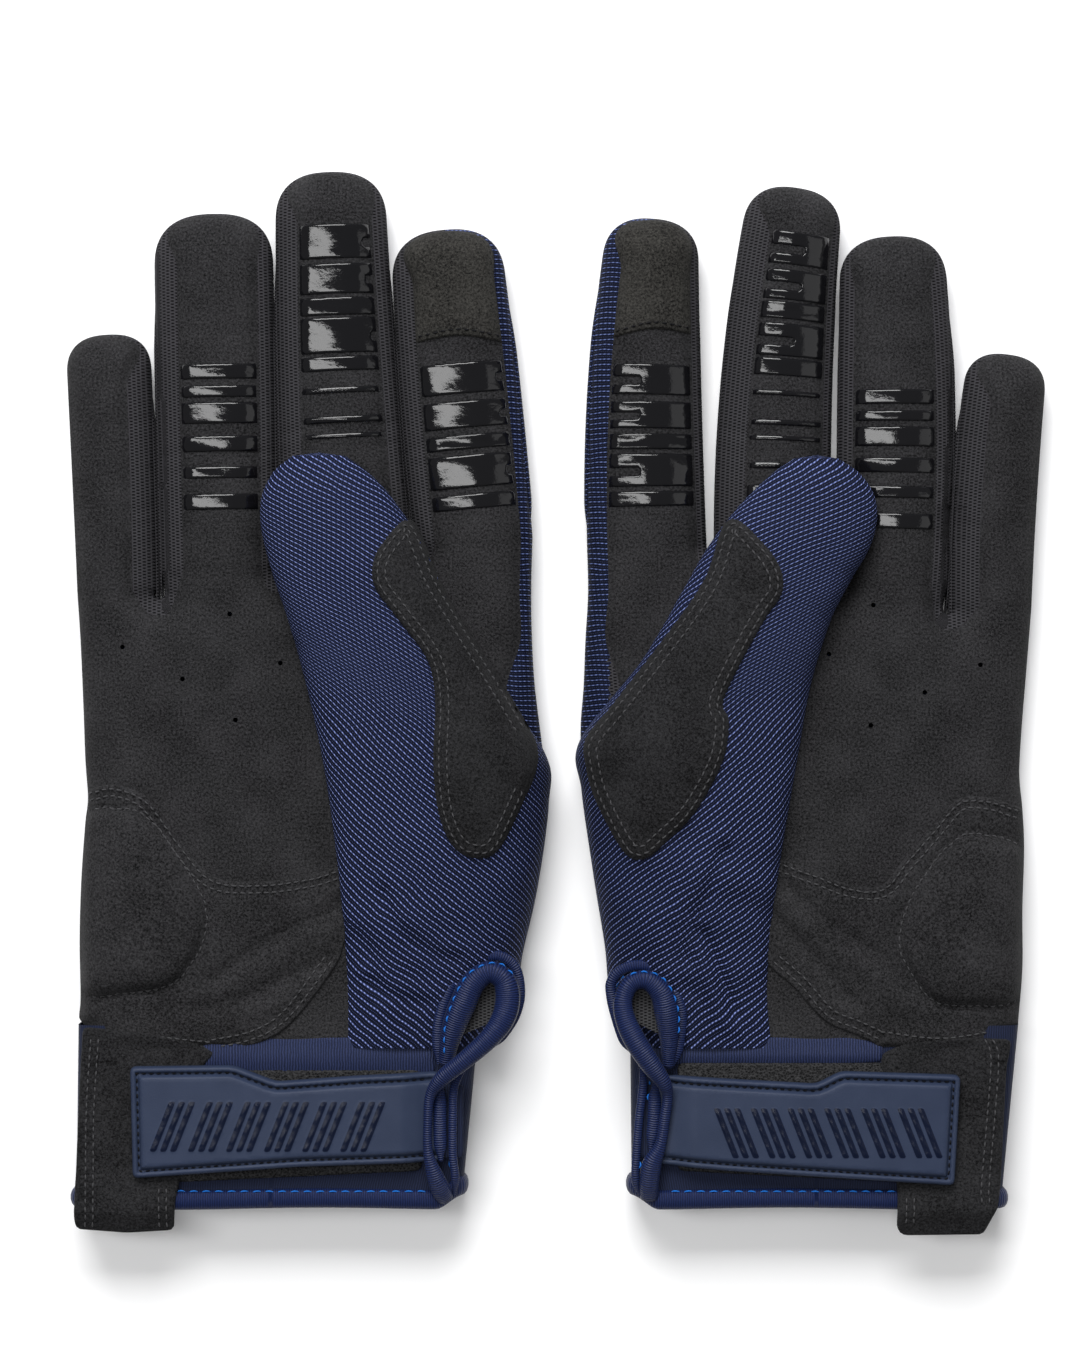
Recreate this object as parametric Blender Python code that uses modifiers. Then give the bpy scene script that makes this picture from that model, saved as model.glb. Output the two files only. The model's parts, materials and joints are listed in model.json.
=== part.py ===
"""A pair of thin full-finger riding gloves, lying palm up, as separate panels on finger, thumb and strap joints.

Frame: metres, +Z up, the gloves' backs on z = 0, fingers along +Y, origin under the middle of the pair.
Each glove is drawn once in its own plane: u runs across the hand towards the thumb, y along the fingers.
The right-hand glove has X = u and the left-hand glove is the mirrored frame, X = -u, with its own sizes.
All numbers below are millimetres and degrees; MM turns them into metres where a mesh is made.
"""

import math

import bmesh
import bpy
from mathutils import Matrix, Vector

MM = 0.001

# ---------------------------------------------------------------- driving dimensions
HAND_HEIGHT = 14.0       # back to palm face, glove lying with some loft in it
WALL = 1.5               # knit and suede with its seam allowance
BAND_WALL = 2.0          # neoprene of the cuff
GAP = 0.3                # clearance between neighbouring pieces
JOINT_GAP = 0.15         # half of the gap at a knuckle crease
SUEDE = 1.2              # overlay thickness
TOP_FACE = HAND_HEIGHT + GAP          # where overlays on the palm side start
PALM_UNDERSIDE = HAND_HEIGHT - 1.6    # underside of the palm panel
WALL_TOP = PALM_UNDERSIDE - GAP       # top of every side wall under the palm panel
HAND_END_Y = -74.6       # lower edge of the palm and of the back
CUFF_TOP_Y = -74.9
CUFF_END_Y = -112.5
HEM_LENGTH = 3.2
SLIT_EDGE = {"right": -29.6, "left": -27.0}   # where the palm side of the cuff stops, in u
SEAM_INSET = 0.15        # how far a side wall stands inside the edge of the floor that it is joined to
SIDE_CLEARANCE = 0.4     # taken off each side of a finger, so that neighbours pass
SECTION_POWER = 2.8      # squareness of a finger's cross-section
ARCH_POWER = 2.3         # squareness of the thumb's cross-section
PALM_FACE_ANGLE = 38.0   # where the palm face of a finger meets its side wall
OUTLINE_STEP = 5.0       # spacing of points on a smoothed outline

KNUCKLE = 0.33           # middle knuckle, as a share of the free finger length
TIP_KNUCKLE = {"index": 0.62, "middle": 0.66, "ring": 0.66, "little": 0.66}

# Free fingers: centre line at the web, half way and at the tip, then full widths at the same places.
FINGERS = {
    "right": {
        "index": ((-18.3, 34.9), (-21.8, 71.1), (-25.0, 107.3), (26.5, 26.5, 24.0)),
        "middle": ((-47.0, 33.3), (-49.5, 76.7), (-51.1, 120.4), (29.0, 26.5, 24.0)),
        "ring": ((-76.1, 28.8), (-76.8, 70.0), (-77.6, 110.9), (26.3, 26.8, 26.0)),
        "little": ((-99.1, 23.9), (-100.1, 53.6), (-101.5, 83.5), (18.3, 18.8, 18.8)),
    },
    "left": {
        "index": ((-20.8, 34.9), (-20.5, 72.2), (-22.3, 109.8), (27.0, 25.0, 19.5)),
        "middle": ((-49.4, 33.3), (-50.4, 74.9), (-54.9, 116.8), (26.5, 24.5, 20.5)),
        "ring": ((-76.4, 25.9), (-77.2, 65.9), (-76.3, 105.8), (25.3, 26.0, 22.5)),
        "little": ((-98.8, 20.5), (-99.9, 49.7), (-102.8, 79.0), (18.4, 19.0, 17.5)),
    },
}
FINGER_ORDER = ("index", "middle", "ring", "little")

# Lowest points of the webs between neighbouring fingers.
WEBS = {
    "right": ((-31.9, 31.4), (-62.2, 27.2), (-89.6, 21.9)),
    "left": ((-35.2, 31.0), (-63.2, 25.6), (-89.3, 18.5)),
}

# Edges of the hand below the fingers, from the finger root down to the cuff.
LITTLE_SIDE = {
    "right": ((-107.6, 14.2), (-107.0, 0.7), (-106.5, -12.8), (-105.9, -21.8), (-106.5, -27.0),
              (-107.4, -39.8), (-107.8, -53.3), (-107.4, -66.8), (-107.0, -74.3)),
    "left": ((-106.9, 7.4), (-105.8, -6.1), (-105.3, -16.2), (-106.0, -24.1), (-106.4, -33.1),
             (-106.0, -46.6), (-106.0, -60.1), (-105.1, -71.3), (-104.9, -74.3)),
}
INDEX_SIDE = {
    "right": ((-5.4, 25.0), (-5.2, 14.2), (-4.5, 4.0), (-3.2, -4.0)),
    "left": ((-7.5, 25.0), (-6.9, 14.2), (-6.5, 4.0), (-6.3, -4.0)),
}

# Thumb sections from its knuckle to its tip: left point, right point, height of the ridge.
THUMB = {
    "right": (((-56.9, 9.2), (-4.7, -6.0), 27.0), ((-59.6, 17.6), (-17.3, 11.9), 27.0),
              ((-63.0, 27.7), (-24.5, 25.0), 26.0), ((-65.7, 37.8), (-30.4, 37.1), 25.0),
              ((-65.9, 45.7), (-36.7, 46.1), 23.5), ((-62.3, 52.9), (-42.8, 52.9), 21.5),
              ((-58.0, 55.6), (-47.3, 55.6), 19.0)),
    "left": (((-57.1, 8.5), (-9.2, -0.6), 27.0), ((-62.0, 19.0), (-21.0, 13.0), 27.0),
             ((-66.5, 27.7), (-28.0, 24.0), 26.0), ((-71.0, 36.0), (-35.5, 37.0), 25.0),
             ((-71.9, 45.0), (-43.0, 46.1), 23.5), ((-68.2, 51.8), (-49.5, 52.4), 21.5),
             ((-62.8, 54.6), (-54.0, 54.6), 19.0)),
}
# Thumb base, fixed to the hand, from the thumb knuckle down to the cuff.
THUMB_BASE = {
    "right": (((-56.6, 7.8), (-4.5, -7.5), 27.0), ((-52.5, -12.0), (-1.5, -21.0), 26.0),
              ((-49.0, -35.3), (-3.8, -41.0), 24.0), ((-47.2, -54.0), (-7.3, -56.7), 19.5),
              ((-46.6, -66.0), (-9.2, -66.5), 16.5), ((-46.4, -74.3), (-17.0, -74.3), 15.2)),
    "left": (((-56.8, 7.1), (-9.0, -1.9), 27.0), ((-54.5, -12.0), (-6.6, -18.0), 26.0),
             ((-50.6, -35.3), (-8.4, -37.0), 24.0), ((-48.0, -54.0), (-11.2, -54.5), 19.5),
             ((-47.7, -66.0), (-12.7, -66.8), 16.5), ((-47.5, -74.3), (-17.5, -74.3), 15.2)),
}
# Share of the thumb's section, from the right, that the suede covers at each section.
THUMB_SUEDE = (0.42, 0.36, 0.40, 0.30, 0.12, 0.10)
PATCH_SHARES = ((0.06, 0.42), (0.10, 0.44), (0.16, 0.34))   # lobe on the thumb base, inner and outer edge

CUFF_SIDES = {   # little side and thumb side of the cuff at its top, middle and end
    "right": ((-107.0, -18.0), (-107.9, -19.4), (-108.0, -20.7)),
    "left": ((-104.2, -17.2), (-102.8, -16.8), (-100.6, -17.4)),
}

STRAP = {
    "right": ((-94.3, -83.0), (-71.3, -81.2), (-63.7, -85.1), (-30.0, -83.3),
              (-30.0, -102.8), (-93.4, -107.1)),
    "left": ((-90.0, -81.0), (-63.0, -81.7), (-57.4, -85.1), (-27.4, -84.4),
             (-27.4, -103.3), (-88.9, -108.6)),
}
STRAP_HINGE_Y = -93.0
STRAP_LEVELS = {"loop": (TOP_FACE, 15.1), "hook": (15.4, 16.2), "tab": (16.5, 19.0)}

PULL_TAB = {
    "right": ((-106.2, -72.2), (-80.0, -75.2), (-78.5, -80.5), (-84.5, -84.0), (-84.5, -107.0),
              (-85.0, -112.0), (-87.5, -117.5), (-106.5, -119.4), (-107.8, -112.0), (-106.6, -90.0)),
    "left": ((-103.8, -72.2), (-80.0, -75.2), (-77.5, -79.5), (-79.5, -84.0), (-77.5, -107.0),
             (-76.5, -112.0), (-77.8, -117.8), (-96.5, -119.0), (-99.5, -112.0), (-102.2, -90.0)),
}
HEEL_OVERLAY = {
    "right": ((-106.0, -20.7), (-98.5, -18.6), (-91.0, -21.8), (-83.3, -32.0), (-76.6, -39.2),
              (-66.0, -40.4), (-50.5, -37.6), (-48.4, -55.0), (-48.0, -71.8), (-78.0, -71.6),
              (-104.5, -67.5), (-106.4, -55.0), (-106.2, -35.0)),
    "left": ((-104.9, -24.5), (-97.0, -21.5), (-90.0, -24.0), (-82.0, -34.5), (-74.5, -42.0),
             (-66.0, -43.0), (-53.0, -39.0), (-49.6, -55.0), (-49.2, -71.8), (-78.0, -71.6),
             (-103.2, -67.5), (-104.6, -55.0), (-105.0, -35.0)),
}
HEEL_PAD = {
    "right": ((-103.5, -27.0), (-97.0, -25.0), (-91.0, -27.5), (-84.5, -35.5), (-79.8, -44.0),
              (-80.0, -52.0), (-85.5, -60.5), (-94.0, -63.5), (-103.0, -62.0), (-104.6, -45.0)),
    "left": ((-102.0, -31.0), (-96.0, -29.0), (-90.0, -31.5), (-84.0, -39.0), (-80.5, -48.0),
             (-81.5, -55.5), (-87.0, -62.5), (-94.5, -65.0), (-101.5, -63.5), (-103.2, -48.0)),
}
PAD_TOP = 16.6           # top of the foam under the heel overlay
DOME_TOP = 18.2          # top of the overlay over the foam

# Route of the cuff binding round the slit, with heights, for the left leg, the loop and the right leg.
BINDING_RADIUS = 1.5
BINDING_ROUTE = {
    "right": ((-26.0, -113.2, 12.6), (-27.4, -107.0, 16.6), (-27.8, -99.0, 17.4), (-27.8, -90.5, 17.4),
              (-26.6, -84.2, 20.8), (-22.4, -79.2, 21.8), (-16.6, -74.6, 21.4), (-12.2, -69.0, 20.8),
              (-10.8, -63.4, 21.0), (-14.0, -59.6, 21.4), (-18.6, -61.4, 21.4), (-21.2, -67.0, 20.2),
              (-22.4, -74.0, 18.2), (-23.4, -80.6, 17.4), (-24.4, -88.0, 17.4), (-24.4, -97.0, 17.4),
              (-24.5, -106.0, 16.6), (-24.6, -113.2, 12.6)),
    "left": ((-23.0, -113.2, 12.6), (-24.6, -107.0, 16.6), (-25.0, -99.0, 17.4), (-25.0, -90.5, 17.4),
             (-24.0, -83.8, 20.9), (-20.4, -78.6, 21.8), (-16.6, -72.4, 21.4), (-14.8, -66.4, 20.8),
             (-17.0, -61.8, 21.2), (-21.4, -61.6, 21.4), (-24.4, -66.4, 20.8), (-25.2, -73.0, 18.6),
             (-24.0, -79.4, 17.4), (-21.6, -86.0, 17.4), (-21.2, -97.0, 17.4), (-21.4, -106.0, 16.6),
             (-21.5, -113.2, 12.6)),
}

COLOURS = {   # name: colour, roughness
    "navy_knit": ((0.020, 0.035, 0.110, 1), 0.75),
    "black_suede": ((0.012, 0.012, 0.013, 1), 0.95),
    "black_mesh": ((0.010, 0.010, 0.012, 1), 0.80),
    "navy_neoprene": ((0.012, 0.022, 0.085, 1), 0.70),
    "navy_binding": ((0.010, 0.022, 0.105, 1), 0.55),
    "navy_rubber": ((0.030, 0.045, 0.085, 1), 0.45),
    "black_hook_loop": ((0.006, 0.006, 0.007, 1), 1.00),
    "grey_foam": ((0.150, 0.150, 0.160, 1), 0.90),
}


# ---------------------------------------------------------------- scene helpers
def clear_scene():
    for obj in list(bpy.data.objects):
        bpy.data.objects.remove(obj, do_unlink=True)


def new_collection(name):
    collection = bpy.data.collections.new(name)
    bpy.context.scene.collection.children.link(collection)
    return collection


def make_material(name):
    colour, roughness = COLOURS[name]
    material = bpy.data.materials.new(name)
    material.use_nodes = True
    shader = material.node_tree.nodes["Principled BSDF"]
    shader.inputs["Base Color"].default_value = colour
    shader.inputs["Roughness"].default_value = roughness
    shader.inputs["Metallic"].default_value = 0.0
    return material


class Glove:
    """One glove: its mirrored or plain frame, and an empty on the axis of each moving body."""

    def __init__(self, hand, collection, cutters, materials):
        self.hand = hand
        self.collection = collection
        self.cutters = cutters
        self.materials = materials
        self.frame = bpy.data.objects.new(hand + "_glove_frame", None)
        collection.objects.link(self.frame)
        self.frame.scale.x = 1 if hand == "right" else -1
        self.pivots = {"hand": self.pivot("hand", (0, 0, 0))}

    def pivot(self, body, point, parent="hand"):
        """An empty on a joint's axis; parent is the body that it moves with."""
        empty = bpy.data.objects.new(f"{self.hand}_{body}_pivot", None)
        self.collection.objects.link(empty)
        above = getattr(self, "pivots", {}).get(parent)
        empty.parent = above or self.frame
        base = Vector(above["point"]) if above else Vector((0, 0, 0))
        empty.location = (Vector(point) - base) * MM
        empty["point"] = tuple(float(x) for x in point)
        return empty

    def place(self, obj, body, material):
        """Parents a finished object, drawn in the glove's frame, to its body's empty."""
        pivot = self.pivots[body]
        obj.data.transform(_shift(-Vector(pivot["point"]) * MM))
        obj.parent = pivot
        obj.data.materials.append(self.materials[material])
        return obj

    def new_object(self, name, data, cutter=False):
        obj = bpy.data.objects.new(f"{self.hand}_{name}", data)
        (self.cutters if cutter else self.collection).objects.link(obj)
        if cutter:
            obj.hide_render = True
            obj.display_type = "WIRE"
        return obj


def _shift(offset):
    return Matrix.Translation(offset)


# ---------------------------------------------------------------- outline helpers
def spline(points, closed=False, step=OUTLINE_STEP):
    """A Catmull-Rom curve through the points, of any dimension, sampled about every step millimetres."""
    points = [Vector(p) for p in points]
    count = len(points)
    spans = count if closed else count - 1
    out = []
    for i in range(spans):
        b, c = points[i], points[(i + 1) % count]
        a = points[i - 1] if closed or i else b * 2 - c
        d = points[(i + 2) % count] if closed or i + 2 < count else c * 2 - b
        pieces = max(1, round((c - b).length / step))
        for k in range(pieces):
            t = k / pieces
            out.append(0.5 * ((2 * b) + (c - a) * t + (2 * a - 5 * b + 4 * c - d) * t * t
                              + (3 * b - a - 3 * c + d) * t ** 3))
    if not closed:
        out.append(points[-1])
    return out


def signed_area(outline):
    return 0.5 * sum(a[0] * b[1] - b[0] * a[1] for a, b in zip(outline, outline[1:] + outline[:1]))


def rounded(outline, radius=1.5):
    """The outline with each corner cut to a short chamfered round."""
    out = []
    count = len(outline)
    for i in range(count):
        here, before, after = (Vector(outline[j % count]) for j in (i, i - 1, i + 1))
        reach = min(radius, (here - before).length * 0.4, (here - after).length * 0.4)
        enter = here + (before - here).normalized() * reach
        leave = here + (after - here).normalized() * reach
        out += [enter, enter * 0.25 + here * 0.5 + leave * 0.25, leave]
    return out


# ---------------------------------------------------------------- shape helpers
def plate(glove, name, outline, z_low, z_high, body, material, cutter=False):
    """A flat panel: a filled 2D outline extruded to its thickness, made a mesh so that it can be cut."""
    curve = bpy.data.curves.new(name, "CURVE")
    curve.dimensions = "2D"
    curve.fill_mode = "BOTH"
    curve.extrude = (z_high - z_low) / 2 * MM
    line = curve.splines.new("POLY")
    line.points.add(len(outline) - 1)
    for point, (u, y) in zip(line.points, ((p[0], p[1]) for p in outline)):
        point.co = (u * MM, y * MM, 0, 1)
    line.use_cyclic_u = True
    obj = glove.new_object(name + "_outline", curve, cutter)
    bpy.context.view_layer.update()
    graph = bpy.context.evaluated_depsgraph_get()
    mesh = bpy.data.meshes.new_from_object(obj.evaluated_get(graph))
    bpy.data.objects.remove(obj)
    weld(mesh)
    mesh.transform(_shift(Vector((0, 0, (z_low + z_high) / 2 * MM))))
    return finish_mesh(glove, name, mesh, body, material, cutter)


def weld(mesh):
    work = bmesh.new()
    work.from_mesh(mesh)
    bmesh.ops.remove_doubles(work, verts=work.verts, dist=1e-6)
    bmesh.ops.recalc_face_normals(work, faces=work.faces)
    work.to_mesh(mesh)
    work.free()


def finish_mesh(glove, name, mesh, body, material, cutter=False):
    obj = glove.new_object(name, mesh, cutter)
    return glove.place(obj, body, material)


def shell(glove, name, rings, thickness, body, material, cap=False, closed=False, cutter=False):
    """A swept open surface with Solidify. Rings run along the piece, and the wall grows inwards.

    cap fills the last ring, and closed joins each ring's last point to its first."""
    mesh = bpy.data.meshes.new(name)
    work = bmesh.new()
    rows = [[work.verts.new(Vector(p) * MM) for p in ring] for ring in rings]
    for a, b in zip(rows, rows[1:]):
        last = len(a) if closed else len(a) - 1
        for k in range(last):
            j = (k + 1) % len(a)
            work.faces.new((a[k], a[j], b[j], b[k]))
    if cap:
        work.faces.new(rows[-1])
    bmesh.ops.recalc_face_normals(work, faces=work.faces)
    point_outwards(work, rings)
    work.to_mesh(mesh)
    work.free()
    obj = finish_mesh(glove, name, mesh, body, material, cutter)
    wall = obj.modifiers.new("wall", "SOLIDIFY")
    wall.thickness = thickness * MM
    wall.offset = -1
    wall.use_even_offset = True
    return obj


def point_outwards(work, rings):
    """Turns an open surface so that its faces look away from the line through the middles of its rings."""
    middles = [sum((Vector(p) for p in ring), Vector()) / len(ring) * MM for ring in rings]
    work.faces.ensure_lookup_table()
    towards = 0.0
    for face in work.faces:
        centre = face.calc_center_median()
        nearest = min(middles, key=lambda m: (m - centre).length)
        towards += face.normal.dot(centre - nearest) * face.calc_area()
    if towards < 0:
        bmesh.ops.reverse_faces(work, faces=work.faces)


def wall_along(glove, name, path, z_low, z_high, thickness, body, material, inner, cutter=False, even=True):
    """An upright ribbon along a path in the plane; inner is the side it thickens to, 1 right or -1 left.

    A path with a hairpin in it takes even=False, which keeps the wall from running to a long point there."""
    mesh = bpy.data.meshes.new(name)
    work = bmesh.new()
    low = [work.verts.new((p[0] * MM, p[1] * MM, z_low * MM)) for p in path]
    high = [work.verts.new((p[0] * MM, p[1] * MM, z_high * MM)) for p in path]
    for k in range(len(path) - 1):
        work.faces.new((low[k], low[k + 1], high[k + 1], high[k]))
    work.to_mesh(mesh)
    work.free()
    obj = finish_mesh(glove, name, mesh, body, material, cutter)
    wall = obj.modifiers.new("wall", "SOLIDIFY")
    wall.thickness = thickness * MM
    wall.offset = inner
    wall.use_even_offset = even
    return obj


def boolean(obj, other, operation, use_self=False):
    modifier = obj.modifiers.new(operation.lower(), "BOOLEAN")
    modifier.operation = operation
    modifier.object = other
    modifier.solver = "EXACT"
    modifier.use_self = use_self


# ---------------------------------------------------------------- fingers
class Finger:
    """The free part of one finger: its centre line and widths, and the two knuckle creases on it."""

    def __init__(self, hand, name):
        root, middle, tip, widths = FINGERS[hand][name]
        self.name = name
        self.points = [Vector(p) for p in (root, middle, tip)]
        self.widths = [w - 2 * SIDE_CLEARANCE for w in widths]
        self.length = sum((b - a).length for a, b in zip(self.points, self.points[1:]))
        self.knuckle = KNUCKLE
        self.tip_knuckle = TIP_KNUCKLE[name]

    @staticmethod
    def _weights(t):
        """Quadratic through values at 0, one half and 1."""
        return (2 * (t - 0.5) * (t - 1), -4 * t * (t - 1), 2 * t * (t - 0.5))

    def centre(self, t):
        return sum((w * p for w, p in zip(self._weights(t), self.points)), Vector((0, 0)))

    def along(self, t):
        step = 0.01
        return (self.centre(t + step) - self.centre(t - step)).normalized()

    def across(self, t):
        d = self.along(t)
        return Vector((d.y, -d.x))

    def half_width(self, t):
        """Half of the width, rounded in plan over the last half width of the finger."""
        half = sum(w * x for w, x in zip(self._weights(t), self.widths)) / 2
        round_length = half * 0.95
        past = t * self.length - (self.length - round_length)
        if past > 0:
            share = min(past / round_length, 1.0)
            half *= max((1 - share ** 2.2) ** (1 / 2.2), 0.0)
        return half

    def side(self, t, sign):
        return self.centre(t) + self.across(t) * self.half_width(t) * sign

    def section(self, t, first, last, count, drop=0.0):
        """Points of the cross-section between two angles, from the thumb side over the palm face."""
        c, n, half = self.centre(t), self.across(t), self.half_width(t)
        rise = HAND_HEIGHT / 2
        out = []
        for k in range(count):
            angle = math.radians(first + (last - first) * k / (count - 1))
            cu, cz = math.cos(angle), math.sin(angle)
            x = half * math.copysign(abs(cu) ** (2 / SECTION_POWER), cu)
            z = rise + (rise - drop) * math.copysign(abs(cz) ** (2 / SECTION_POWER), cz)
            out.append((c.x + n.x * x, c.y + n.y * x, z))
        return out


def middle_segment(glove, finger):
    """Between the two knuckles: the suede palm face and the knit channel round the back and sides."""
    body = finger.name + "_mid"
    glove.pivots[body] = glove.pivot(body, (*finger.centre(finger.knuckle), HAND_HEIGHT))
    start = finger.knuckle + JOINT_GAP / finger.length
    end = finger.tip_knuckle - JOINT_GAP / finger.length
    stations = [start, (start + end) / 2, end]
    edge = PALM_FACE_ANGLE
    slack = 9.0   # degrees left open between the palm face and the channel
    face = [finger.section(t, edge, 180 - edge, 7) for t in stations]
    channel = [finger.section(t, 180 - edge + slack, 360 + edge - slack, 15) for t in stations]
    shell(glove, body + "_palm_face", face, WALL, body, "black_suede")
    shell(glove, body + "_back", channel, WALL, body, "navy_knit")


def fingertip(glove, finger):
    """Beyond the second knuckle: a closed cap, open towards the hand."""
    body = finger.name + "_tip"
    parent = finger.name + "_mid"
    glove.pivots[body] = glove.pivot(body, (*finger.centre(finger.tip_knuckle), HAND_HEIGHT), parent)
    start = finger.tip_knuckle + JOINT_GAP / finger.length
    half = finger.widths[2] / 2
    round_start = 1 - half * 0.95 / finger.length
    shares = (0.35, 0.65, 0.85, 0.96)
    stations = [start, (start + round_start) / 2, round_start]
    stations += [round_start + (1 - round_start) * s for s in shares]
    drops = [0, 0, 0, 0.4, 1.2, 2.4, 3.8]
    rings = [finger.section(t, 0, 360 - 22.5, 16, drop) for t, drop in zip(stations, drops)]
    shell(glove, body, rings, WALL, body, "black_suede", cap=True, closed=True)


def tip_overlay(glove, finger):
    """Touch-screen patch on the palm face of the index fingertip."""
    body = finger.name + "_tip"
    start = finger.tip_knuckle + 0.6 / finger.length
    stations = [start + (0.965 - start) * k / 6 for k in range(7)]
    inset = 3.4
    right = [finger.centre(t) + finger.across(t) * max(finger.half_width(t) - inset, 1.0) for t in stations]
    left = [finger.centre(t) - finger.across(t) * max(finger.half_width(t) - inset, 1.0) for t in stations]
    plate(glove, finger.name + "_tip_overlay", right + left[::-1], TOP_FACE, TOP_FACE + 0.8, body,
          "black_suede")


# ---------------------------------------------------------------- hand
def finger_root_outline(finger, from_side, to_side):
    """Outline of the fixed part of a finger, from one side at the web up and over its knuckle crease."""
    end = finger.knuckle - JOINT_GAP / finger.length
    shares = (0.08, 0.5, 1.0)
    up = [finger.side(end * s, from_side) for s in shares]
    down = [finger.side(end * s, to_side) for s in reversed(shares)]
    return up + down


def hand_outline(glove, fingers, thumb_cut):
    """Outline of the palm side or back panel. thumb_cut lists the points along the thumb's root."""
    webs = WEBS[glove.hand]
    outline = []
    for i, name in enumerate(FINGER_ORDER):
        outline += finger_root_outline(fingers[name], 1, -1)
        if i < len(webs):
            outline.append(Vector(webs[i]))
    outline += spline(LITTLE_SIDE[glove.hand], step=8)
    outline += [Vector((end.x, HAND_END_Y)) for end in (outline[-1], thumb_cut[0])]
    outline += [Vector(p) for p in thumb_cut]
    outline += [Vector(p) for p in reversed(INDEX_SIDE[glove.hand])]
    return outline


def palm_panel(glove, fingers):
    base = THUMB_BASE[glove.hand]
    cut = [Vector(left) - Vector((GAP + 0.1, 0)) for left, _, _ in reversed(base)]
    crotch = Vector(base[0][1]) + Vector((0.2, 1.2))
    cut.append(Vector(base[0][0]) + Vector((-0.2, 1.3)))
    cut.append(crotch)
    plate(glove, "palm_panel", hand_outline(glove, fingers, cut), PALM_UNDERSIDE, HAND_HEIGHT, "hand",
          "black_suede")


def arch(left, right, base_z, ridge_z, count=11, share=(0.0, 1.0), offset=0.0):
    """Points over a thumb section from its left foot to its right foot; share picks a stretch of it."""
    left, right = Vector(left), Vector(right)
    middle, reach = (left + right) / 2, (right - left) / 2
    half = reach.length + offset
    out = []
    for k in range(count):
        part = share[0] + (share[1] - share[0]) * k / (count - 1)
        angle = math.pi * (1 - part)
        x = math.copysign(abs(math.cos(angle)) ** (2 / ARCH_POWER), math.cos(angle)) * half
        z = base_z + (ridge_z + offset - base_z) * max(math.sin(angle), 0) ** (2 / ARCH_POWER)
        p = middle + reach.normalized() * x
        out.append((p.x, p.y, z))
    return out


def back_panel(glove, fingers):
    """Knit back: floor, side walls and the hood over the thumb's root, in one piece."""
    base = THUMB_BASE[glove.hand]
    rim = [Vector(right) + Vector((SEAM_INSET, 0)) for _, right, _ in reversed(base)]
    outline = hand_outline(glove, fingers, rim)
    back = plate(glove, "back_panel", outline, 0.0, WALL, "hand", "navy_knit")
    little = fingers["little"]
    index = fingers["index"]
    end = KNUCKLE - JOINT_GAP / little.length
    little_path = [little.side(end * s, -1) for s in (1.0, 0.5, 0.08)] + spline(LITTLE_SIDE[glove.hand], step=8)
    index_path = [index.side(end * s, 1) for s in (1.0, 0.5, 0.08)]
    root = Vector(base[0][1]).lerp(Vector(base[1][1]), 0.2) - Vector((SEAM_INSET, 0))
    index_path += spline([*INDEX_SIDE[glove.hand], base[0][1], root], step=8)
    walls = (("little_wall", little_path, -1), ("index_wall", index_path, 1))
    for name, path, inner in walls:
        path = [Vector(p) - Vector((SEAM_INSET * inner, 0)) for p in path]
        wall = wall_along(glove, name, path, WALL / 2, WALL_TOP, WALL, "hand", "navy_knit", inner, True)
        boolean(back, wall, "UNION")
    rings = []
    for left, right, ridge in base:
        over = arch(left, right, WALL_TOP + GAP, ridge)
        over.append((right[0], right[1], WALL / 2))
        rings.append(over)
    hood = shell(glove, "thumb_hood", rings, WALL, "hand", "navy_knit", cutter=True)
    boolean(back, hood, "UNION")


def fourchettes(glove, fingers):
    """Side walls between neighbouring fingers: each runs down one finger, round the web and up the next."""
    for i, (one, other) in enumerate(zip(FINGER_ORDER, FINGER_ORDER[1:])):
        a, b = fingers[one], fingers[other]
        inset = 0.05
        top_a = a.knuckle - JOINT_GAP / a.length
        top_b = b.knuckle - JOINT_GAP / b.length
        shares = (1.0, 0.6, 0.2)
        path = [a.side(top_a * s, -1) + a.across(0) * inset for s in shares]
        path.append(Vector(WEBS[glove.hand][i]))
        path += [b.side(top_b * s, 1) - b.across(0) * inset for s in reversed(shares)]
        wall_along(glove, f"fourchette_{one}_{other}", path, WALL + GAP, WALL_TOP, WALL, "hand",
                   "black_mesh", -1, even=False)


def heel_pad(glove):
    pad = spline(HEEL_PAD[glove.hand], closed=True)
    plate(glove, "heel_foam", pad, TOP_FACE, PAD_TOP, "hand", "grey_foam")
    sheet = spline(HEEL_OVERLAY[glove.hand], closed=True)
    overlay = plate(glove, "heel_overlay", sheet, TOP_FACE, TOP_FACE + SUEDE, "hand", "black_suede")
    centre = sum((Vector(p) for p in pad), Vector((0, 0))) / len(pad)
    dome_outline = [p + (p - centre).normalized() * 1.3 for p in map(Vector, pad)]
    pocket_outline = [p + (p - centre).normalized() * GAP for p in map(Vector, pad)]
    dome = plate(glove, "heel_dome", dome_outline, TOP_FACE + 0.4, DOME_TOP, "hand", "black_suede", True)
    pocket = plate(glove, "heel_pocket", pocket_outline, TOP_FACE - 1, PAD_TOP + GAP, "hand",
                   "black_suede", True)
    boolean(overlay, dome, "UNION")
    boolean(overlay, pocket, "DIFFERENCE")


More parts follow.
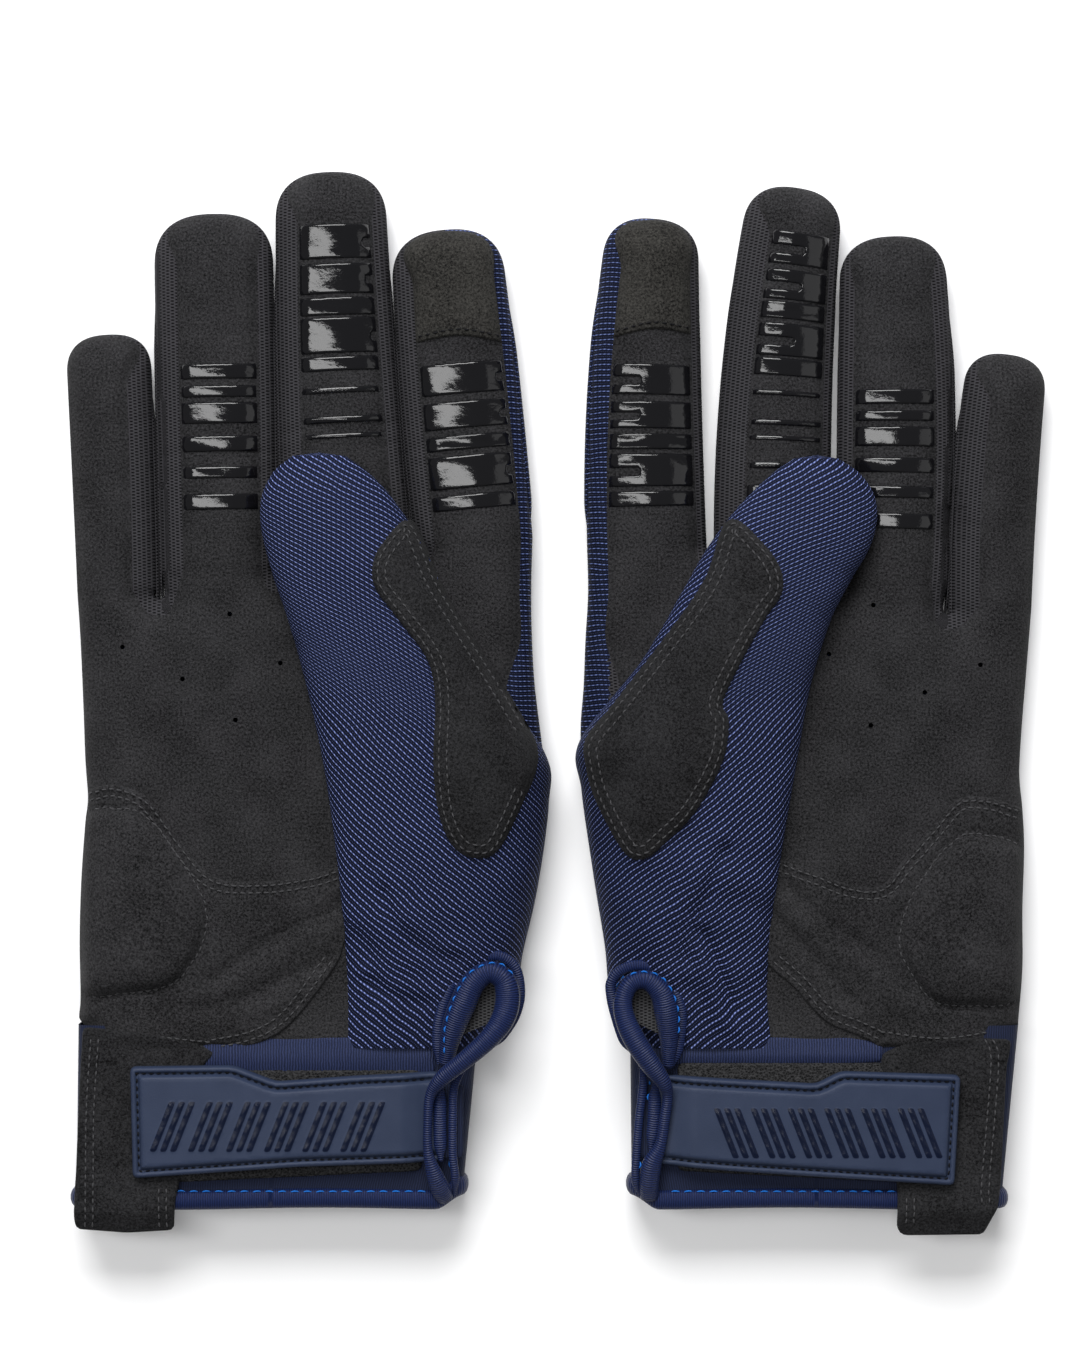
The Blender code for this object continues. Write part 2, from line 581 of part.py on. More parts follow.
# ---------------------------------------------------------------- thumb
def thumb(glove):
    """The moving thumb: a knit arch, and the suede that runs under it and up over its outer side."""
    sections = THUMB[glove.hand]
    left, right, ridge = sections[0]
    middle = (Vector(left) + Vector(right)) / 2
    glove.pivots["thumb"] = glove.pivot("thumb", (*middle, ridge + SUEDE + GAP + 0.3))
    foot = TOP_FACE + SUEDE + 2 * GAP
    rings = [arch(l, r, foot, top) for l, r, top in sections]
    shell(glove, "thumb_back", rings, WALL, "thumb", "navy_knit", cap=True)
    wraps = []
    clear = 2.1   # room for the knit arch and a gap inside the suede
    for (l, r, top), cover in zip(sections[:-1], THUMB_SUEDE):
        over = arch(l, r, foot, top, count=7, share=(1 - cover, 0.96), offset=clear)
        l, r = Vector(l), Vector(r)
        across = (r - l).normalized()
        under = [(*(r + across * clear), foot - 0.6), (*(r + across * (clear - 0.8)), TOP_FACE)]
        under += [(*(r.lerp(l, s)), TOP_FACE) for s in (0.12, 0.5, 0.9, 1.0)]
        wraps.append(over + under)
    shell(glove, "thumb_suede", wraps, SUEDE, "thumb", "black_suede")


def thumb_patch(glove):
    """Lobe of the thumb's suede that is sewn down on the thumb base, beyond the knuckle."""
    base = THUMB_BASE[glove.hand][:3]
    rings = []
    for (left, right, top), (outer, inner) in zip(base, PATCH_SHARES):
        rings.append(arch(left, right, WALL_TOP + GAP, top, count=6, share=(1 - inner, 1 - outer), offset=1.6))
    shell(glove, "thumb_patch", rings, SUEDE, "hand", "black_suede")


# ---------------------------------------------------------------- cuff and strap
def cuff_section(slit, low_side, high_side, y):
    """Outer line of the cuff at y, from the slit round the little side and back to the thumb side's top."""
    corner = 3.0
    top, floor = HAND_HEIGHT, 0.0
    line = [(slit, top), ((slit + low_side) / 2, top), (low_side + corner, top)]
    line += [(low_side + corner * (1 - math.sin(a)), top - corner * (1 - math.cos(a)))
             for a in (math.radians(45), math.radians(90))]
    line += [(low_side, floor + corner), (low_side + corner * 0.3, floor + corner * 0.3)]
    line += [(low_side + corner, floor), ((low_side + high_side) / 2, floor), (high_side - corner * 0.6, floor)]
    line += [(high_side, floor + corner), (high_side, top - 0.9), (high_side - 0.7, top)]
    return [(u, y, z) for u, z in line]


def cuff(glove):
    sides = CUFF_SIDES[glove.hand]
    slit = SLIT_EDGE[glove.hand]
    stations = [CUFF_TOP_Y, (CUFF_TOP_Y + CUFF_END_Y) / 2, CUFF_END_Y]
    rings = [cuff_section(slit, low, high, y) for (low, high), y in zip(sides, stations)]
    shell(glove, "cuff_band", rings, BAND_WALL, "hand", "navy_neoprene")
    low, high = sides[-1]
    hem_start = CUFF_END_Y - GAP
    hem_rings = [cuff_section(slit, low, high, y) for y in (hem_start, hem_start - HEM_LENGTH)]
    binding = shell(glove, "cuff_binding", hem_rings, BAND_WALL + 1.2, "hand", "navy_binding")
    boolean(binding, binding_tube(glove), "UNION", use_self=True)


def binding_tube(glove):
    """The tape that binds the slit, as one round cord up one leg, round the loop and down the other."""
    curve = bpy.data.curves.new("slit_binding", "CURVE")
    curve.dimensions = "3D"
    curve.bevel_depth = BINDING_RADIUS * MM
    curve.bevel_resolution = 2
    curve.use_fill_caps = True
    route = spline(BINDING_ROUTE[glove.hand], step=3.5)
    line = curve.splines.new("POLY")
    line.points.add(len(route) - 1)
    for point, place in zip(line.points, route):
        point.co = (*(place * MM), 1)
    obj = glove.new_object("slit_binding_route", curve, True)
    bpy.context.view_layer.update()
    graph = bpy.context.evaluated_depsgraph_get()
    mesh = bpy.data.meshes.new_from_object(obj.evaluated_get(graph))
    bpy.data.objects.remove(obj)
    weld(mesh)
    return finish_mesh(glove, "slit_binding", mesh, "hand", "navy_binding", True)


def strap(glove):
    """Hook-and-loop wrist closure: fixed loop field and anchor, and the moulded tab that lifts."""
    outline = STRAP[glove.hand]
    root_edge = outline[3][0]
    glove.pivots["strap"] = glove.pivot("strap", (root_edge + GAP, STRAP_HINGE_Y, STRAP_LEVELS["tab"][1] + GAP))
    tab = rounded([Vector(p) for p in outline])
    centre = sum(tab, Vector((0, 0))) / len(tab)
    hook = [centre + (p - centre) * 0.9 for p in tab]
    plate(glove, "strap_tab", tab, *STRAP_LEVELS["tab"], "strap", "navy_rubber")
    plate(glove, "hook_patch", hook, *STRAP_LEVELS["hook"], "strap", "black_hook_loop")
    pull_edge = max(p[0] for p in PULL_TAB[glove.hand][2:7]) + 1.5
    loop_end = root_edge - 1.0
    loop = [(pull_edge, -83.8), (loop_end, -84.8), (loop_end, -104.0), (pull_edge, -107.6)]
    plate(glove, "loop_patch", loop, *STRAP_LEVELS["loop"], "hand", "black_hook_loop")
    side = CUFF_SIDES[glove.hand][1][1] - 1.2
    anchor = [(root_edge + 0.4, -85.6), (side, -85.6), (side, -102.0), (root_edge + 0.4, -102.0)]
    plate(glove, "strap_anchor", anchor, TOP_FACE, TOP_FACE + SUEDE, "hand", "navy_neoprene")
    tab_outline = spline(PULL_TAB[glove.hand], closed=True)
    plate(glove, "pull_tab", tab_outline, TOP_FACE, TOP_FACE + SUEDE - 0.2, "hand", "black_suede")


# ---------------------------------------------------------------- the pair
def build_glove(hand, collection, cutters, materials):
    glove = Glove(hand, collection, cutters, materials)
    fingers = {name: Finger(hand, name) for name in FINGER_ORDER}
    back_panel(glove, fingers)
    palm_panel(glove, fingers)
    fourchettes(glove, fingers)
    for finger in fingers.values():
        middle_segment(glove, finger)
        fingertip(glove, finger)
    tip_overlay(glove, fingers["index"])
    heel_pad(glove)
    thumb(glove)
    thumb_patch(glove)
    cuff(glove)
    strap(glove)


def main():
    clear_scene()
    collection = new_collection("riding_gloves")
    cutters = new_collection("cutters")
    materials = {name: make_material(name) for name in COLOURS}
    for hand in ("right", "left"):
        build_glove(hand, collection, cutters, materials)


main()
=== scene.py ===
"""Looks of a pair of thin riding gloves lying palm up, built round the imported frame.

Each glove is drawn in its own plane: u runs across the hand towards the thumb, y along the fingers, z up, all
in millimetres. The right-hand glove has X = u and the left-hand glove X = -u. Sheets are triangulated outlines
lifted by a height that depends on how far a point is from the edge, so that the cloth looks puffed; patches,
silicone and stitches are laid on them by dropping their points on the sheet below.
"""

import json
import math
import random

import bpy
import numpy as np
from mathutils import Vector, noise
from mathutils.bvhtree import BVHTree
from mathutils.geometry import delaunay_2d_cdt
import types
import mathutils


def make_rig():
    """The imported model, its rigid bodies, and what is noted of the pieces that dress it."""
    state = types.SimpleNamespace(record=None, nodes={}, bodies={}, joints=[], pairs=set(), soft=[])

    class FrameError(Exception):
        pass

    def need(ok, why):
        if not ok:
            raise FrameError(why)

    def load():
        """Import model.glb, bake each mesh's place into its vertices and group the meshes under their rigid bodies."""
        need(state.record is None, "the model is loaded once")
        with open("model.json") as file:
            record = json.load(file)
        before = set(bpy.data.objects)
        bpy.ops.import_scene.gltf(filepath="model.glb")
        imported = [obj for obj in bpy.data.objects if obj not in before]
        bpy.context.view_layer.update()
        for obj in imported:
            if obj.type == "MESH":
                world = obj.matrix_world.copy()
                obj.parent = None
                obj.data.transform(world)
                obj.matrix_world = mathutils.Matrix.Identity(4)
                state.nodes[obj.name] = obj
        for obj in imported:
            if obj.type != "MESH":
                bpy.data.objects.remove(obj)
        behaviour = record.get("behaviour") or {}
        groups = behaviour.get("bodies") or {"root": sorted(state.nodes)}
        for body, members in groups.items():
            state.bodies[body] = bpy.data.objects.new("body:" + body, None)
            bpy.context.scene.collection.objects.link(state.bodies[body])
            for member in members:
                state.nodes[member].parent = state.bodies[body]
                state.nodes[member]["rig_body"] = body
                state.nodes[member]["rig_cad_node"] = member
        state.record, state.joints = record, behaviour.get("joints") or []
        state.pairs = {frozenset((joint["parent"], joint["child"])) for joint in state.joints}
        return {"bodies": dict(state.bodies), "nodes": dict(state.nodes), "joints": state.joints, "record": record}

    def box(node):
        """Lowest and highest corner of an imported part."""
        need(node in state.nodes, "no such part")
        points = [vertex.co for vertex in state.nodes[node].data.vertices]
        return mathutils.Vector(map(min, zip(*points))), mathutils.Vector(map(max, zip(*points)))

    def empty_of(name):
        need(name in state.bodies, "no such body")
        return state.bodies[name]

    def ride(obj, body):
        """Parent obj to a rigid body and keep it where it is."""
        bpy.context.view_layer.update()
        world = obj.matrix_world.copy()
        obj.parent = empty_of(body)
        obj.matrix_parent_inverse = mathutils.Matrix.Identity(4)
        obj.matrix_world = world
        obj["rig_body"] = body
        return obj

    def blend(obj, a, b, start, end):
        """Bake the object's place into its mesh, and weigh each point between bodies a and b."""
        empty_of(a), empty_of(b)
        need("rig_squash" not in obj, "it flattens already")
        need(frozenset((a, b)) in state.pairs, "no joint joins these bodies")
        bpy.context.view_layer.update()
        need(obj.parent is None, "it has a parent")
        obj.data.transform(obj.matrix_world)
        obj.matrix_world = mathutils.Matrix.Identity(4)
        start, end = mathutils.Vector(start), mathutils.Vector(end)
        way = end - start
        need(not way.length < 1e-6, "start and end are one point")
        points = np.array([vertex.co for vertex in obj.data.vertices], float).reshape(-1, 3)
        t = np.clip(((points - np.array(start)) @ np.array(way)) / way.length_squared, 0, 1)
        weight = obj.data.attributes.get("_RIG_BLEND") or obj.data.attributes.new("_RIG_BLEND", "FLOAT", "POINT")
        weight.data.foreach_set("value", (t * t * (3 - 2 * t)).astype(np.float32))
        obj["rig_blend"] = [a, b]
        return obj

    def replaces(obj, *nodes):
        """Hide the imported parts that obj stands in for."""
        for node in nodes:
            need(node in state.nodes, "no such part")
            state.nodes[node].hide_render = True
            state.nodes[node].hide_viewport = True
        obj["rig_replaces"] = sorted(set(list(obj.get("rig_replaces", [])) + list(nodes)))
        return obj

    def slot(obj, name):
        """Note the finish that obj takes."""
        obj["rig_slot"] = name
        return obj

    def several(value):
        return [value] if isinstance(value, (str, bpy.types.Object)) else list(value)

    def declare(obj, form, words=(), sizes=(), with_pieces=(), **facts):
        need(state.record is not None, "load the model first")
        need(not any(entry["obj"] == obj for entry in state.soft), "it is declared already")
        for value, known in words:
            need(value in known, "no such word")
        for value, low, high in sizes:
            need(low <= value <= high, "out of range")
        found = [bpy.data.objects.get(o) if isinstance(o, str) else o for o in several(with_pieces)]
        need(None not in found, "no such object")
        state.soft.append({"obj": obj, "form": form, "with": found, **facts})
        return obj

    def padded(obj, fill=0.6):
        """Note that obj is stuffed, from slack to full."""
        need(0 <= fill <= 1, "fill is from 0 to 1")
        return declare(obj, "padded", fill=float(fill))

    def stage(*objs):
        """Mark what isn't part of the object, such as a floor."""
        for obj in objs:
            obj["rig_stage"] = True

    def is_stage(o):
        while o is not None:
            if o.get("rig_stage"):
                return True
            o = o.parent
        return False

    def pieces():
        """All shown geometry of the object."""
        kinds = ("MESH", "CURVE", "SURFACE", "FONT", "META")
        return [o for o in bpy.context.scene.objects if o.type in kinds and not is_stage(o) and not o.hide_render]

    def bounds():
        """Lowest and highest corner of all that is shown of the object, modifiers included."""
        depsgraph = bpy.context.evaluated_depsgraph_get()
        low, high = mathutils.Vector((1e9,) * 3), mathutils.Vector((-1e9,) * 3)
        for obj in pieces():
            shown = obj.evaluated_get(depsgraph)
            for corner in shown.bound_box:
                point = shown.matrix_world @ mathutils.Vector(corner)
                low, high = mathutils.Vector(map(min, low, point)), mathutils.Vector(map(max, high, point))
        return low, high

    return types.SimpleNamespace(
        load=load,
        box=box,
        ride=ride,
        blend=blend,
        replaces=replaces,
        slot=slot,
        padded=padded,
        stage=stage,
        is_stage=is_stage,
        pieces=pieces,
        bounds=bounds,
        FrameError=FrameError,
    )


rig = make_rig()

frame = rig.load()
CAD_BOX = [list(corner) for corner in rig.bounds()]
MM = 0.001
HANDS = {"right": 1, "left": -1}
FINGER_ORDER = ("index", "middle", "ring", "little")

# ---------------------------------------------------------------- driving sizes, millimetres
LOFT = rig.box("right_palm_panel")[1].z / MM        # height of the palm face
EDGE_HEIGHT = 5.6                                   # height at which the palm side meets the back
SIDE_ROUNDING = 14.0                                # how far in from the edge the palm side is rounded
BACK_ROUNDING = 6.0
PUFF_POWER = 2.1
GRID = 1.35                                         # spacing of the points of a sheet
KNUCKLE_SHARE = 0.33                                # middle knuckle, as a share of the free finger length
TIP_KNUCKLE_SHARE = {"index": 0.62, "middle": 0.66, "ring": 0.66, "little": 0.66}
BEND_REACH = 6.0                                    # half of the stretch of a finger that bends at a knuckle
HAND_END_Y = -77.8
CUFF_TOP_Y, CUFF_END_Y = -72.5, -110.6
HEM_Y = -111.4
TUBE_SIDES = 14                                     # corners of a tape's section
CUFF_POINTS = 220                                   # points round the cuff, about
THUMB_OVER, THUMB_UNDER = 60, 24                    # points over the thumb and below it

FINGERS = {   # centre line at the web, half way and at the tip, then full widths at the same places
    "right": {
        "index": ((-18.3, 34.9), (-21.8, 71.1), (-25.0, 107.3), (26.8, 27.0, 24.6)),
        "middle": ((-47.0, 33.3), (-49.5, 76.7), (-51.1, 120.4), (29.0, 27.0, 24.6)),
        "ring": ((-76.1, 28.8), (-76.8, 70.0), (-77.6, 110.9), (26.3, 27.0, 26.8)),
        "little": ((-99.1, 23.9), (-100.1, 53.6), (-101.5, 83.5), (18.3, 19.0, 19.2)),
    },
    "left": {
        "index": ((-20.8, 34.9), (-20.5, 72.2), (-22.3, 109.8), (27.0, 25.2, 20.4)),
        "middle": ((-49.4, 33.3), (-50.4, 74.9), (-54.9, 116.8), (26.5, 25.0, 21.2)),
        "ring": ((-76.4, 25.9), (-77.2, 65.9), (-76.3, 105.8), (25.3, 26.2, 23.2)),
        "little": ((-98.8, 20.5), (-99.9, 49.7), (-102.8, 79.0), (18.4, 19.2, 18.0)),
    },
}
SIDE_STRIPS = {   # width of the strip beside the suede, on the thumb side and on the little side
    "right": {"index": (2.6, 4.7), "middle": (3.3, 5.3), "ring": (3.4, 5.6), "little": (5.2, 0.8)},
    "left": {"index": (4.5, 2.1), "middle": (6.4, 2.1), "ring": (3.1, 4.4), "little": (6.0, 0.8)},
}
WEBS = {
    "right": ((-31.9, 33.0), (-62.2, 28.4), (-89.6, 23.4)),
    "left": ((-35.2, 34.4), (-63.2, 26.8), (-89.0, 20.2)),
}
LITTLE_SIDE = {
    "right": ((-107.6, 14.2), (-107.0, 0.7), (-106.5, -12.8), (-105.9, -21.8), (-106.5, -27.0),
              (-107.4, -39.8), (-107.8, -53.3), (-107.6, -66.8), (-107.9, -71.6), (-106.5, -73.4),
              (-106.3, HAND_END_Y)),
    "left": ((-106.9, 7.4), (-105.8, -6.1), (-105.3, -16.2), (-106.0, -24.1), (-106.4, -33.1),
             (-106.0, -46.6), (-106.0, -60.1), (-105.1, -71.3), (-104.8, -74.0), (-102.6, -76.0),
             (-102.2, HAND_END_Y)),
}
THUMB_SIDE = {
    "right": ((-17.4, HAND_END_Y), (-9.2, -66.5), (-7.3, -56.7), (-3.8, -41.0), (-1.6, -21.0), (-3.0, -9.0),
              (-4.6, 4.0), (-5.2, 14.2), (-5.4, 25.0)),
    "left": ((-17.9, HAND_END_Y), (-12.7, -66.8), (-11.2, -54.5), (-8.4, -37.0), (-6.2, -18.0), (-5.8, -6.0),
             (-6.5, 4.0), (-6.9, 14.2), (-7.5, 25.0)),
}

# Thumb sections from the cuff to the tip: left point, right point, ridge height, and the height of each foot.
THUMB = {
    "right": (
        ((-46.8, -77.4), (-17.4, -77.4), 15.2, 13.4, 7.0), ((-46.6, -66.0), (-9.2, -66.5), 17.2, 13.2, 6.0),
        ((-47.2, -54.0), (-7.3, -56.7), 20.0, 13.2, 6.0), ((-49.0, -35.3), (-3.8, -41.0), 24.2, 13.2, 6.0),
        ((-52.0, -14.0), (-1.4, -23.0), 26.2, 13.2, 6.0), ((-56.0, 4.5), (-2.2, -11.5), 27.0, 13.4, 8.0),
        ((-59.6, 17.6), (-15.4, 8.0), 27.0, 14.4, 14.6), ((-63.0, 27.7), (-24.5, 24.0), 26.2, 14.6, 15.0),
        ((-65.7, 37.8), (-30.4, 37.1), 25.0, 15.0, 15.4), ((-65.9, 45.7), (-36.7, 46.1), 23.6, 15.6, 15.8),
        ((-63.0, 51.9), (-42.0, 51.9), 21.8, 16.4, 16.4), ((-58.8, 55.4), (-46.9, 55.4), 19.6, 17.2, 17.2)),
    "left": (
        ((-48.8, -77.4), (-17.9, -77.4), 15.2, 13.4, 7.0), ((-47.7, -66.0), (-12.7, -66.8), 17.2, 13.2, 6.0),
        ((-48.2, -54.0), (-11.2, -54.5), 20.0, 13.2, 6.0), ((-50.6, -35.3), (-8.4, -37.0), 24.2, 13.2, 6.0),
        ((-54.5, -12.0), (-6.0, -20.0), 26.2, 13.2, 6.0), ((-57.5, 4.5), (-5.6, -8.5), 27.0, 13.4, 8.0),
        ((-62.0, 19.0), (-19.4, 9.5), 27.0, 14.4, 14.6), ((-66.5, 27.7), (-28.0, 24.0), 26.2, 14.6, 15.0),
        ((-71.0, 36.0), (-35.5, 37.0), 25.0, 15.0, 15.4), ((-71.9, 45.0), (-43.0, 46.1), 23.6, 15.6, 15.8),
        ((-68.6, 51.2), (-49.0, 51.8), 21.8, 16.4, 16.4), ((-63.6, 54.8), (-53.4, 54.8), 19.6, 17.2, 17.2)),
}
THUMB_PATCH = {
    "right": ((-32.0, 41.0), (-25.9, 27.7), (-18.6, 15.6), (-9.0, 0.0), (-4.2, -9.0), (-4.2, -15.0), (-7.0, -21.8),
              (-12.4, -32.4), (-17.2, -34.4), (-22.5, -32.0), (-25.9, -24.1), (-27.0, -12.8), (-26.6, 0.7),
              (-28.4, 9.7), (-34.9, 18.7), (-39.8, 25.4), (-40.5, 30.5), (-38.3, 35.6)),
    "left": ((-38.6, 41.0), (-33.2, 27.7), (-25.0, 15.6), (-13.0, 0.0), (-6.8, -8.0), (-6.8, -14.0), (-9.0, -21.8),
             (-15.2, -33.1), (-19.8, -34.6), (-24.4, -31.0), (-31.0, -24.1), (-37.0, -13.0), (-38.4, -3.8),
             (-37.0, 0.0), (-40.5, 8.0), (-46.4, 18.7), (-50.0, 24.0), (-50.0, 29.4), (-46.0, 35.6)),
}
HEEL_OVERLAY = {
    "right": ((-108.0, -21.6), (-104.0, -19.2), (-98.5, -18.4), (-91.0, -21.6), (-83.3, -31.8), (-76.6, -39.0),
              (-66.0, -40.0), (-55.0, -38.6), (-45.0, -36.4), (-44.5, -45.0), (-47.3, -54.0), (-49.5, -59.4),
              (-57.6, -70.2), (-63.0, -74.7), (-69.0, -77.2), (-76.0, -78.6), (-92.0, -78.8), (-105.8, -78.6),
              (-106.2, -73.6), (-108.0, -71.8), (-108.2, -55.0), (-107.8, -37.0)),
    "left": ((-106.6, -25.6), (-102.0, -22.6), (-95.6, -21.0), (-90.0, -21.8), (-84.4, -28.1), (-78.1, -35.3),
             (-73.1, -41.0), (-65.9, -40.7), (-57.6, -37.6), (-46.0, -34.8), (-44.0, -45.0), (-46.3, -55.5),
             (-48.7, -59.6), (-53.6, -63.8), (-60.4, -71.3), (-67.3, -74.4), (-71.5, -76.4), (-74.5, -79.0),
             (-90.0, -79.2), (-102.0, -78.8), (-102.6, -76.2), (-105.2, -73.8), (-106.4, -55.0), (-106.8, -38.0)),
}
HEEL_PAD = {
    "right": ((-106.4, -26.2), (-97.0, -23.8), (-90.6, -26.6), (-84.0, -35.5), (-79.0, -44.0),
              (-78.6, -52.0), (-82.4, -59.5), (-87.0, -63.4), (-96.0, -65.0), (-106.8, -64.4), (-107.2, -45.0)),
    "left": ((-105.8, -33.6), (-94.9, -29.4), (-90.1, -30.7), (-85.2, -35.6), (-79.7, -44.5), (-77.3, -54.2),
             (-81.1, -62.4), (-85.2, -66.9), (-92.1, -67.9), (-105.0, -66.2), (-106.0, -50.0)),
}
STRAP = {
    "right": ((-95.2, -81.4), (-72.0, -81.1), (-62.4, -84.7), (-44.0, -83.4), (-26.0, -82.6), (-26.0, -102.8),
              (-57.6, -103.8), (-94.6, -106.4)),
    "left": ((-90.8, -83.4), (-88.8, -83.2), (-64.0, -82.4), (-58.4, -85.2), (-40.0, -84.2), (-23.0, -83.2),
             (-23.0, -103.4), (-40.0, -104.8), (-89.4, -108.0)),
}
PULL_TAB = {
    "right": ((-106.1, -72.8), (-107.1, -93.4), (-108.0, -115.9), (-107.6, -118.2), (-96.1, -119.0),
              (-85.7, -118.4), (-85.2, -111.4), (-84.0, -106.0), (-80.6, -84.5), (-78.4, -80.6), (-76.0, -78.6),
              (-80.0, -76.4), (-92.0, -74.0)),
    "left": ((-102.5, -75.6), (-101.3, -81.7), (-100.1, -105.8), (-99.4, -112.7), (-96.2, -119.4), (-78.0, -119.6),
             (-76.8, -118.1), (-76.8, -108.6), (-74.6, -95.0), (-73.2, -81.0), (-73.4, -78.8), (-78.0, -76.6),
             (-90.0, -75.0)),
}
CUFF_SIDES = {   # little side and thumb side of the cuff at its top and end
    "right": ((-107.6, -17.2), (-108.0, -20.9)),
    "left": ((-104.6, -17.0), (-100.9, -17.4)),
}

# The tape that binds the slit: a folded roll with its radius, and the flat flange outside it.
ROLL = {
    "right": ((-24.6, -81.0, 15.6, 1.6), (-23.6, -75.5, 17.0, 2.3), (-22.2, -71.0, 17.8, 2.8),
              (-20.6, -67.1, 18.3, 3.0), (-18.4, -62.6, 18.6, 2.8), (-14.9, -60.0, 18.8, 2.5),
              (-11.6, -61.6, 18.8, 2.6), (-10.6, -65.6, 19.0, 2.8), (-11.6, -70.2, 19.8, 2.7),
              (-14.8, -74.7, 20.6, 2.3), (-20.3, -79.6, 20.6, 2.0), (-25.2, -83.6, 19.8, 1.8),
              (-27.9, -87.6, 18.4, 1.2), (-28.5, -93.8, 17.8, 1.0), (-28.4, -100.4, 17.4, 1.1),
              (-27.0, -105.6, 16.6, 1.9), (-25.6, -109.2, 15.2, 2.2), (-24.6, -111.2, 13.8, 1.9)),
    "left": ((-25.3, -81.6, 15.6, 1.3), (-25.5, -75.4, 17.0, 2.1), (-24.9, -69.1, 18.2, 2.8),
             (-23.6, -64.6, 18.6, 2.6), (-20.4, -61.8, 18.8, 2.2), (-17.0, -62.6, 18.8, 2.0),
             (-15.2, -66.0, 19.0, 2.1), (-15.5, -70.0, 19.6, 2.3), (-17.6, -74.8, 20.4, 2.5),
             (-21.1, -80.2, 20.6, 2.3), (-24.2, -84.6, 19.8, 1.7), (-25.1, -87.8, 18.4, 1.2),
             (-24.5, -92.8, 17.8, 1.25), (-23.6, -98.7, 17.4, 1.3), (-21.7, -103.0, 16.8, 2.2),
             (-21.1, -107.8, 15.6, 2.2), (-21.2, -110.8, 13.8, 2.2)),
}
BODY_ROLL = {"right": slice(1, 9), "left": slice(1, 8)}   # the part of the roll that rings the hole
FLANGE = {
    "right": ((-26.1, -81.0, 15.6), (-26.3, -73.1, 16.6), (-24.6, -66.3, 17.2), (-21.5, -60.6, 17.4),
              (-17.1, -57.2, 17.4), (-12.4, -56.6, 17.2), (-9.0, -59.2, 16.6), (-7.9, -64.6, 16.0),
              (-8.9, -69.6, 16.2), (-11.6, -74.0, 16.0), (-15.0, -77.6, 15.6)),
    "left": ((-26.1, -81.7, 15.6), (-27.5, -77.4, 16.2), (-28.3, -70.7, 16.8), (-27.5, -66.4, 17.2),
             (-24.3, -60.4, 17.4), (-19.1, -58.6, 17.4), (-14.8, -59.7, 17.0), (-12.6, -62.4, 16.4),
             (-12.6, -65.6, 16.0), (-13.6, -70.0, 16.0), (-15.5, -75.6, 16.0), (-17.6, -78.6, 15.6)),
}
FLANGE_STITCHES = {
    "right": ((-24.7, -77.6), (-24.6, -73.2), (-23.4, -68.4), (-21.8, -64.4), (-19.6, -60.8), (-16.6, -58.7),
              (-12.8, -58.0), (-10.0, -60.0)),
    "left": ((-13.9, -63.4), (-15.6, -61.2), (-19.1, -60.0), (-22.7, -60.6), (-25.1, -62.8), (-26.6, -65.8),
             (-27.4, -69.1), (-27.5, -73.0)),
}
LEG_FLANGE = {
    "right": ((-20.0, -81.6, 16.2), (-22.5, -85.5, 16.6), (-22.9, -93.0, 16.6), (-22.9, -101.0, 16.4),
              (-22.4, -106.4, 15.8), (-22.6, -110.4, 14.0)),
    "left": ((-19.0, -81.0, 16.2), (-19.7, -84.9, 16.6), (-18.8, -92.8, 16.6), (-18.2, -100.7, 16.4),
             (-18.0, -107.0, 15.6), (-19.0, -110.6, 14.0)),
}
LEG_INNER = {
    "right": ((-25.4, -85.2, 16.2), (-25.8, -89.0, 16.4), (-25.8, -97.0, 16.4), (-25.6, -102.6, 16.2)),
    "left": ((-22.4, -84.6, 16.2), (-22.3, -89.0, 16.4), (-22.0, -95.0, 16.4), (-21.4, -100.4, 16.2)),
}
LEG_STITCHES = {
    "right": ((-23.9, -86.6), (-24.0, -93.0), (-24.0, -99.0), (-23.7, -103.4)),
    "left": ((-21.2, -85.6), (-20.4, -92.8), (-19.6, -98.0), (-18.9, -103.4)),
}
FOLDS = {   # creases in the thumb's knit and in the heel, each a line with its depth and width
    "right": {"thumb": ((((-38.3, -42.1), (-34.9, -50.0), (-28.1, -55.6), (-22.0, -57.4)), 0.75, 2.2),
                        (((-41.5, -62.5), (-34.9, -66.0), (-28.1, -67.4)), 0.7, 2.0),
                        (((-44.0, -52.0), (-40.5, -58.0), (-39.6, -66.0)), 0.5, 2.4)),
              "heel": ((((-47.3, -45.0), (-57.4, -50.0), (-68.6, -56.7), (-76.5, -62.3)), 0.85, 2.6),
                       (((-48.4, -55.8), (-59.6, -61.5), (-70.9, -66.5), (-82.0, -69.0)), 0.7, 2.4))},
    "left": {"thumb": ((((-37.4, -33.0), (-33.2, -43.4), (-30.4, -49.0), (-29.8, -57.0)), 1.15, 2.3),
                       (((-33.0, -51.0), (-35.5, -57.0), (-37.4, -62.0), (-40.5, -70.0)), 1.25, 2.0),
                       (((-26.0, -50.0), (-26.6, -57.0), (-29.6, -64.0)), 0.6, 2.0)),
             "heel": ((((-51.0, -40.4), (-63.2, -51.0), (-74.3, -58.3), (-79.5, -64.5)), 1.1, 2.4),
                      (((-48.0, -46.3), (-55.1, -54.5), (-66.4, -66.8)), 0.7, 2.2))},
}

